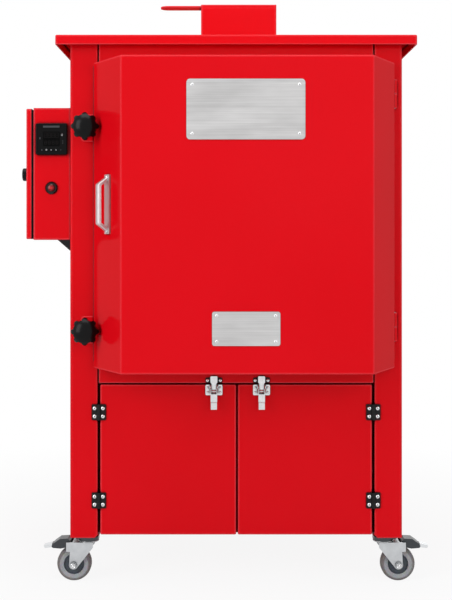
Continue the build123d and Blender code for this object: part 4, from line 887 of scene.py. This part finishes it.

# Pilot lamp: a red domed lens in a black ring. The lens is bright red over its middle, a painted highlight,
# and dark red towards its rim, painted shade.
LENS_RADIUS = 0.00895
lamp_parts = new_material("red_lens_in_black_ring")
tree = lamp_parts.node_tree
place = add(tree, "ShaderNodeTexCoord").outputs["Object"]
lamp_low, lamp_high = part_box("pilot_lamp")
lamp_middle = (lamp_low + lamp_high) / 2
off = add(tree, "ShaderNodeVectorMath", {0: place, 1: (lamp_middle.x, 0, lamp_middle.z)},
          operation="SUBTRACT")
flat = add(tree, "ShaderNodeVectorMath", {0: off.outputs[0], 1: (1, 0, 1)}, operation="MULTIPLY")
radius = add(tree, "ShaderNodeVectorMath", {0: flat.outputs[0]}, operation="LENGTH")
spread = add(tree, "ShaderNodeMapRange", {"Value": radius.outputs["Value"], "From Max": LENS_RADIUS})
# Bright in the middle and dark at the rim: a painted highlight and painted shade.
lens_highlight_and_shade = add(tree, "ShaderNodeValToRGB", {0: spread.outputs[0]})
stops = lens_highlight_and_shade.color_ramp.elements
stops[0].position, stops[0].color = 0.15, linear("#D01C24")
stops[1].position, stops[1].color = 0.95, linear("#4C0105")
stops.new(0.5).color = linear("#8C0309")
is_ring = add(tree, "ShaderNodeMath", {0: radius.outputs["Value"], 1: LENS_RADIUS},
              operation="GREATER_THAN")
tone = add(tree, "ShaderNodeMix", {
    "Factor": is_ring.outputs[0], 6: lens_highlight_and_shade.outputs[0], 7: linear("#0A0A0B"),
}, data_type="RGBA")
shader = add(tree, "ShaderNodeBsdfPrincipled", {
    "Base Color": tone.outputs[2], "Roughness": 0.08, "Specular IOR Level": 0.3,
})
add(tree, "ShaderNodeOutputMaterial", {"Surface": shader.outputs[0]})
dress(lamp_parts, "pilot_lamp")

# Lid gasket: an extruded black rubber section, glued round the inside of the control
# box's lid. Its skin is dull, with a faint grey bloom.
rubber = new_material("extruded_black_rubber")
tree = rubber.node_tree
place = add(tree, "ShaderNodeTexCoord").outputs["Object"]
bloom = add(tree, "ShaderNodeTexNoise", {"Vector": place, "Scale": 60, "Detail": 3.0})
tone = add(tree, "ShaderNodeMix", {
    "Factor": bloom.outputs["Fac"], 6: linear("#0B0B0C"), 7: linear("#18191B"),
}, data_type="RGBA")
shader = add(tree, "ShaderNodeBsdfPrincipled", {"Base Color": tone.outputs[2], "Roughness": 0.75,
                                                 "Specular IOR Level": 0.15})
add(tree, "ShaderNodeOutputMaterial", {"Surface": shader.outputs[0]})
dress(rubber, "lid_gasket")

# Switchgear: a dark contactor, a pale relay and eight terminals, beige, blue and
# green, clipped on a zinc-plated rail. Moulded plastic with a fine matt grain.
GEAR_START, GEAR_END = 110, 350    # y of the row of devices
RAIL_X = -388.95
gear = new_material("moulded_plastics_on_zinc_rail")
tree = gear.node_tree
place = add(tree, "ShaderNodeTexCoord").outputs["Object"]
split = add(tree, "ShaderNodeSeparateXYZ", {0: place})
along = add(tree, "ShaderNodeMapRange", {
    "Value": split.outputs["Y"], "From Min": at(0, GEAR_START, 0).y, "From Max": at(0, GEAR_END, 0).y,
})
device = add(tree, "ShaderNodeValToRGB", {0: along.outputs[0]})
device.color_ramp.interpolation = "CONSTANT"
stops = device.color_ramp.elements
stops[0].position, stops[0].color = 0.0, linear("#2E3134")
stops[1].position = (305.5 - GEAR_START) / (GEAR_END - GEAR_START)
stops[1].color = linear("#4E8C3A")
for y, colour in ((181, "#C4C7C9"), (215, "#B8AE96"), (277.5, "#2C5C9C")):
    stops.new((y - GEAR_START) / (GEAR_END - GEAR_START)).color = linear(colour)
is_rail = add(tree, "ShaderNodeMath", {0: split.outputs["X"], 1: at(RAIL_X, 0, 0).x},
              operation="GREATER_THAN")
grain = add(tree, "ShaderNodeTexNoise", {"Vector": place, "Scale": 500, "Detail": 2.0})
tone = add(tree, "ShaderNodeMix", {
    "Factor": is_rail.outputs[0], 6: device.outputs[0], 7: linear("#C5C8CA"),
}, data_type="RGBA")
gloss = add(tree, "ShaderNodeMapRange", {"Value": grain.outputs["Fac"], "To Min": 0.35, "To Max": 0.55})
shader = add(tree, "ShaderNodeBsdfPrincipled", {
    "Base Color": tone.outputs[2], "Roughness": gloss.outputs[0], "Metallic": is_rail.outputs[0],
})
add(tree, "ShaderNodeOutputMaterial", {"Surface": shader.outputs[0]})
dress(gear, "switchgear")
points = [at(-424, 228.5 + 14 * i, z) for i in range(8) for z in (954.5, 990.5)]
set_screws("terminal_screws", "cabinet", 2.4, points, FACING["left"])
points = [at(-446, y, z) for y in (126, 148, 170) for z in (935, 1010)]
set_screws("contactor_screws", "cabinet", 3.0, points, FACING["left"])

# Castors: forks, swivel plates and rear brackets pressed from zinc-plated steel. The ball race between plate
# and fork, and the swivel plate above it, are darkened as painted shade under the casing; the race has a
# bright rolled lip.
CASTOR_X = 345             # of each swivel's middle, from the cabinet's middle
RACE_Z = 0.0921            # underside of the ball race
plated = new_material("zinc_plated_pressing")
tree = plated.node_tree
place = add(tree, "ShaderNodeTexCoord").outputs["Object"]
smear = add(tree, "ShaderNodeTexNoise", {"Vector": place, "Scale": 70, "Detail": 4.0})
gloss = add(tree, "ShaderNodeMapRange", {"Value": smear.outputs["Fac"], "To Min": 0.24, "To Max": 0.42})
tone = add(tree, "ShaderNodeMix", {
    "Factor": smear.outputs["Fac"], 6: linear("#B4B7BA"), 7: linear("#D2D4D6"),
}, data_type="RGBA")
# Nooks where other faces stand within 20 mm darken towards dark grey: painted shade.
tone = paint_nook_shade(tree, tone, 0.02, 6, 0.3, 0.9, "#3A3C3E")
# Everything above the race's underside, the race and the swivel plate, darkens to dark grey: painted shade
# under the casing.
painted_shade_above_race = add(tree, "ShaderNodeMath", {
    0: add(tree, "ShaderNodeSeparateXYZ", {0: place}).outputs["Z"], 1: RACE_Z,
}, operation="GREATER_THAN")
tone = add(tree, "ShaderNodeMix", {
    "Factor": painted_shade_above_race.outputs[0], 6: tone.outputs[2], 7: linear("#4A4C4F"),
}, data_type="RGBA")
shader = add(tree, "ShaderNodeBsdfPrincipled", {
    "Base Color": tone.outputs[2], "Roughness": gloss.outputs[0], "Metallic": 1.0,
})
add(tree, "ShaderNodeOutputMaterial", {"Surface": shader.outputs[0]})
dress(plated, "castor_mounts", "castor_fork_left", "castor_fork_right")
for side, x in (("left", -CASTOR_X), ("right", CASTOR_X)):
    lip = primitive("torus", f"race_lip_{side}", major_segments=64, minor_segments=10,
                    major_radius=0.0238, minor_radius=0.0008, location=at(x, 50, 93.4))
    settle(lip)
    lip.data.materials.append(bright_zinc)
    smooth(lip, 60)
    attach(lip, f"castor_fork_{side}")

# Brake pedals: black plastic moulded over a steel tongue, whose bright end shows. They
# tilt on the castors' forks and press on the wheels.
STEEL_FROM = 0.4295        # the tongue is bare farther out than this
pedal_parts = new_material("black_plastic_over_steel")
tree = pedal_parts.node_tree
place = add(tree, "ShaderNodeTexCoord").outputs["Object"]
aside = add(tree, "ShaderNodeMath", {
    0: add(tree, "ShaderNodeSeparateXYZ", {0: place}).outputs["X"], 1: MIDDLE,
}, operation="SUBTRACT")
aside = add(tree, "ShaderNodeMath", {0: aside.outputs[0]}, operation="ABSOLUTE")
is_steel = add(tree, "ShaderNodeMath", {0: aside.outputs[0], 1: STEEL_FROM}, operation="GREATER_THAN")
grain = add(tree, "ShaderNodeTexNoise", {"Vector": place, "Scale": 260, "Detail": 3.0})
tone = add(tree, "ShaderNodeMix", {
    "Factor": is_steel.outputs[0], 6: linear("#303438"), 7: linear("#DDDFE1"),
}, data_type="RGBA")
gloss = add(tree, "ShaderNodeMapRange", {"Value": grain.outputs["Fac"], "To Min": 0.2, "To Max": 0.45})
shader = add(tree, "ShaderNodeBsdfPrincipled", {
    "Base Color": tone.outputs[2], "Roughness": gloss.outputs[0], "Metallic": is_steel.outputs[0],
})
add(tree, "ShaderNodeOutputMaterial", {"Surface": shader.outputs[0]})
dress(pedal_parts, "brake_pedal_left", "brake_pedal_right")

# Axle nuts: zinc-plated hexagon nuts on the ends of each wheel's axle, which is
# riveted over into a dome.


def hex_nut():
    """A nut of 1 m radius over its corners that faces up, with the axle's domed end in it."""
    nut = primitive("cylinder", "nut", vertices=6, radius=1, depth=0.7, location=(0, 0, 0.35))
    pick_faces(nut, lambda c, n: n.z > 0.9)
    bpy.ops.mesh.inset(thickness=0.12)
    bpy.ops.transform.translate(value=(0, 0, 0.06))
    bpy.ops.mesh.inset(thickness=0.22)
    bpy.ops.transform.translate(value=(0, 0, -0.12))
    leave_edit()
    end = primitive("uv_sphere", "bolt_end", segments=20, ring_count=10, radius=0.48, location=(0, 0, 0.55))
    pick_faces(end, lambda c, n: c.z < -0.1)
    bpy.ops.mesh.delete(type="FACE")
    bpy.ops.mesh.select_mode(type="EDGE")
    bpy.ops.mesh.select_all(action="DESELECT")
    bpy.ops.mesh.select_non_manifold()
    bpy.ops.mesh.edge_face_add()
    leave_edit()
    return join([settle(nut), settle(end)], "nut")


nut = hex_nut()
nut.data.materials.clear()
nut.data.materials.append(bright_zinc)
NUT_SIZE = Matrix.Scale(0.0062, 4)
AXLE_Z = 40
AXLE_END = 27.5            # from a wheel's middle to its nuts
FRONT_AXLE = (378, 50)     # x and y of the middle of the front axles, which lie along y
REAR_AXLE_Y = 705
for side, sign in (("left", -1), ("right", 1)):
    pieces = [
        placed_copy(nut, Matrix.Translation(at(sign * FRONT_AXLE[0], y, AXLE_Z)) @ FACING[way] @ NUT_SIZE)
        for way, y in (("front", FRONT_AXLE[1] - AXLE_END), ("back", FRONT_AXLE[1] + AXLE_END))
    ]
    nuts = smooth(join(pieces, f"axle_nuts_{side}"), 35)
    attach(nuts, f"castor_fork_{side}")
pieces = [
    placed_copy(
        nut, Matrix.Translation(at(x + sign * AXLE_END, REAR_AXLE_Y, AXLE_Z))
        @ Matrix.Rotation(sign * math.radians(90), 4, "Y") @ NUT_SIZE,
    )
    for x in (-CASTOR_X, CASTOR_X) for sign in (-1, 1)
]
nuts = smooth(join(pieces, "axle_nuts_rear"), 35)
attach(nuts, "cabinet")
bpy.data.objects.remove(nut)
bpy.data.objects.remove(screw)

# Wheels: a hard dark plastic core with grey rubber moulded round it. The rubber is palest on its flat side
# and darker towards the tread.
WHEEL_RADIUS = 0.04
for name, axis in (("front_left", 1), ("front_right", 1), ("rear_left", 0), ("rear_right", 0)):
    tyre = new_material(f"grey_rubber_tyre_{name}")
    tree = tyre.node_tree
    place = add(tree, "ShaderNodeTexCoord").outputs["Object"]
    low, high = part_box(f"wheel_{name}")
    middle = (low + high) / 2
    keep = [1, 1, 1]
    keep[axis] = 0
    off = add(tree, "ShaderNodeVectorMath", {0: place, 1: middle}, operation="SUBTRACT")
    flat = add(tree, "ShaderNodeVectorMath", {0: off.outputs[0], 1: keep}, operation="MULTIPLY")
    radius = add(tree, "ShaderNodeVectorMath", {0: flat.outputs[0]}, operation="LENGTH")
    share = add(tree, "ShaderNodeMath", {0: radius.outputs["Value"], 1: 1 / WHEEL_RADIUS},
                operation="MULTIPLY")
    ramp = add(tree, "ShaderNodeValToRGB", {0: share.outputs[0]})
    ramp.color_ramp.interpolation = "EASE"
    stops = ramp.color_ramp.elements
    stops[0].position, stops[0].color = 0.0, linear("#3D444B")
    stops[1].position, stops[1].color = 1.0, linear("#6C6766")
    for spot, colour in ((0.58, "#3D444B"), (0.62, "#A5A7AA"), (0.78, "#A2A3A6"), (0.86, "#787372")):
        stops.new(spot).color = linear(colour)
    wear = add(tree, "ShaderNodeTexNoise", {"Vector": place, "Scale": 130, "Detail": 3.0})
    tone = add(tree, "ShaderNodeMix", {
        "Factor": 0.35, 6: ramp.outputs[0], 7: wear.outputs["Color"],
    }, data_type="RGBA", blend_type="SOFT_LIGHT")
    shader = add(tree, "ShaderNodeBsdfPrincipled", {"Base Color": tone.outputs[2], "Roughness": 0.6})
    add(tree, "ShaderNodeOutputMaterial", {"Surface": shader.outputs[0]})
    dress(tyre, f"wheel_{name}")
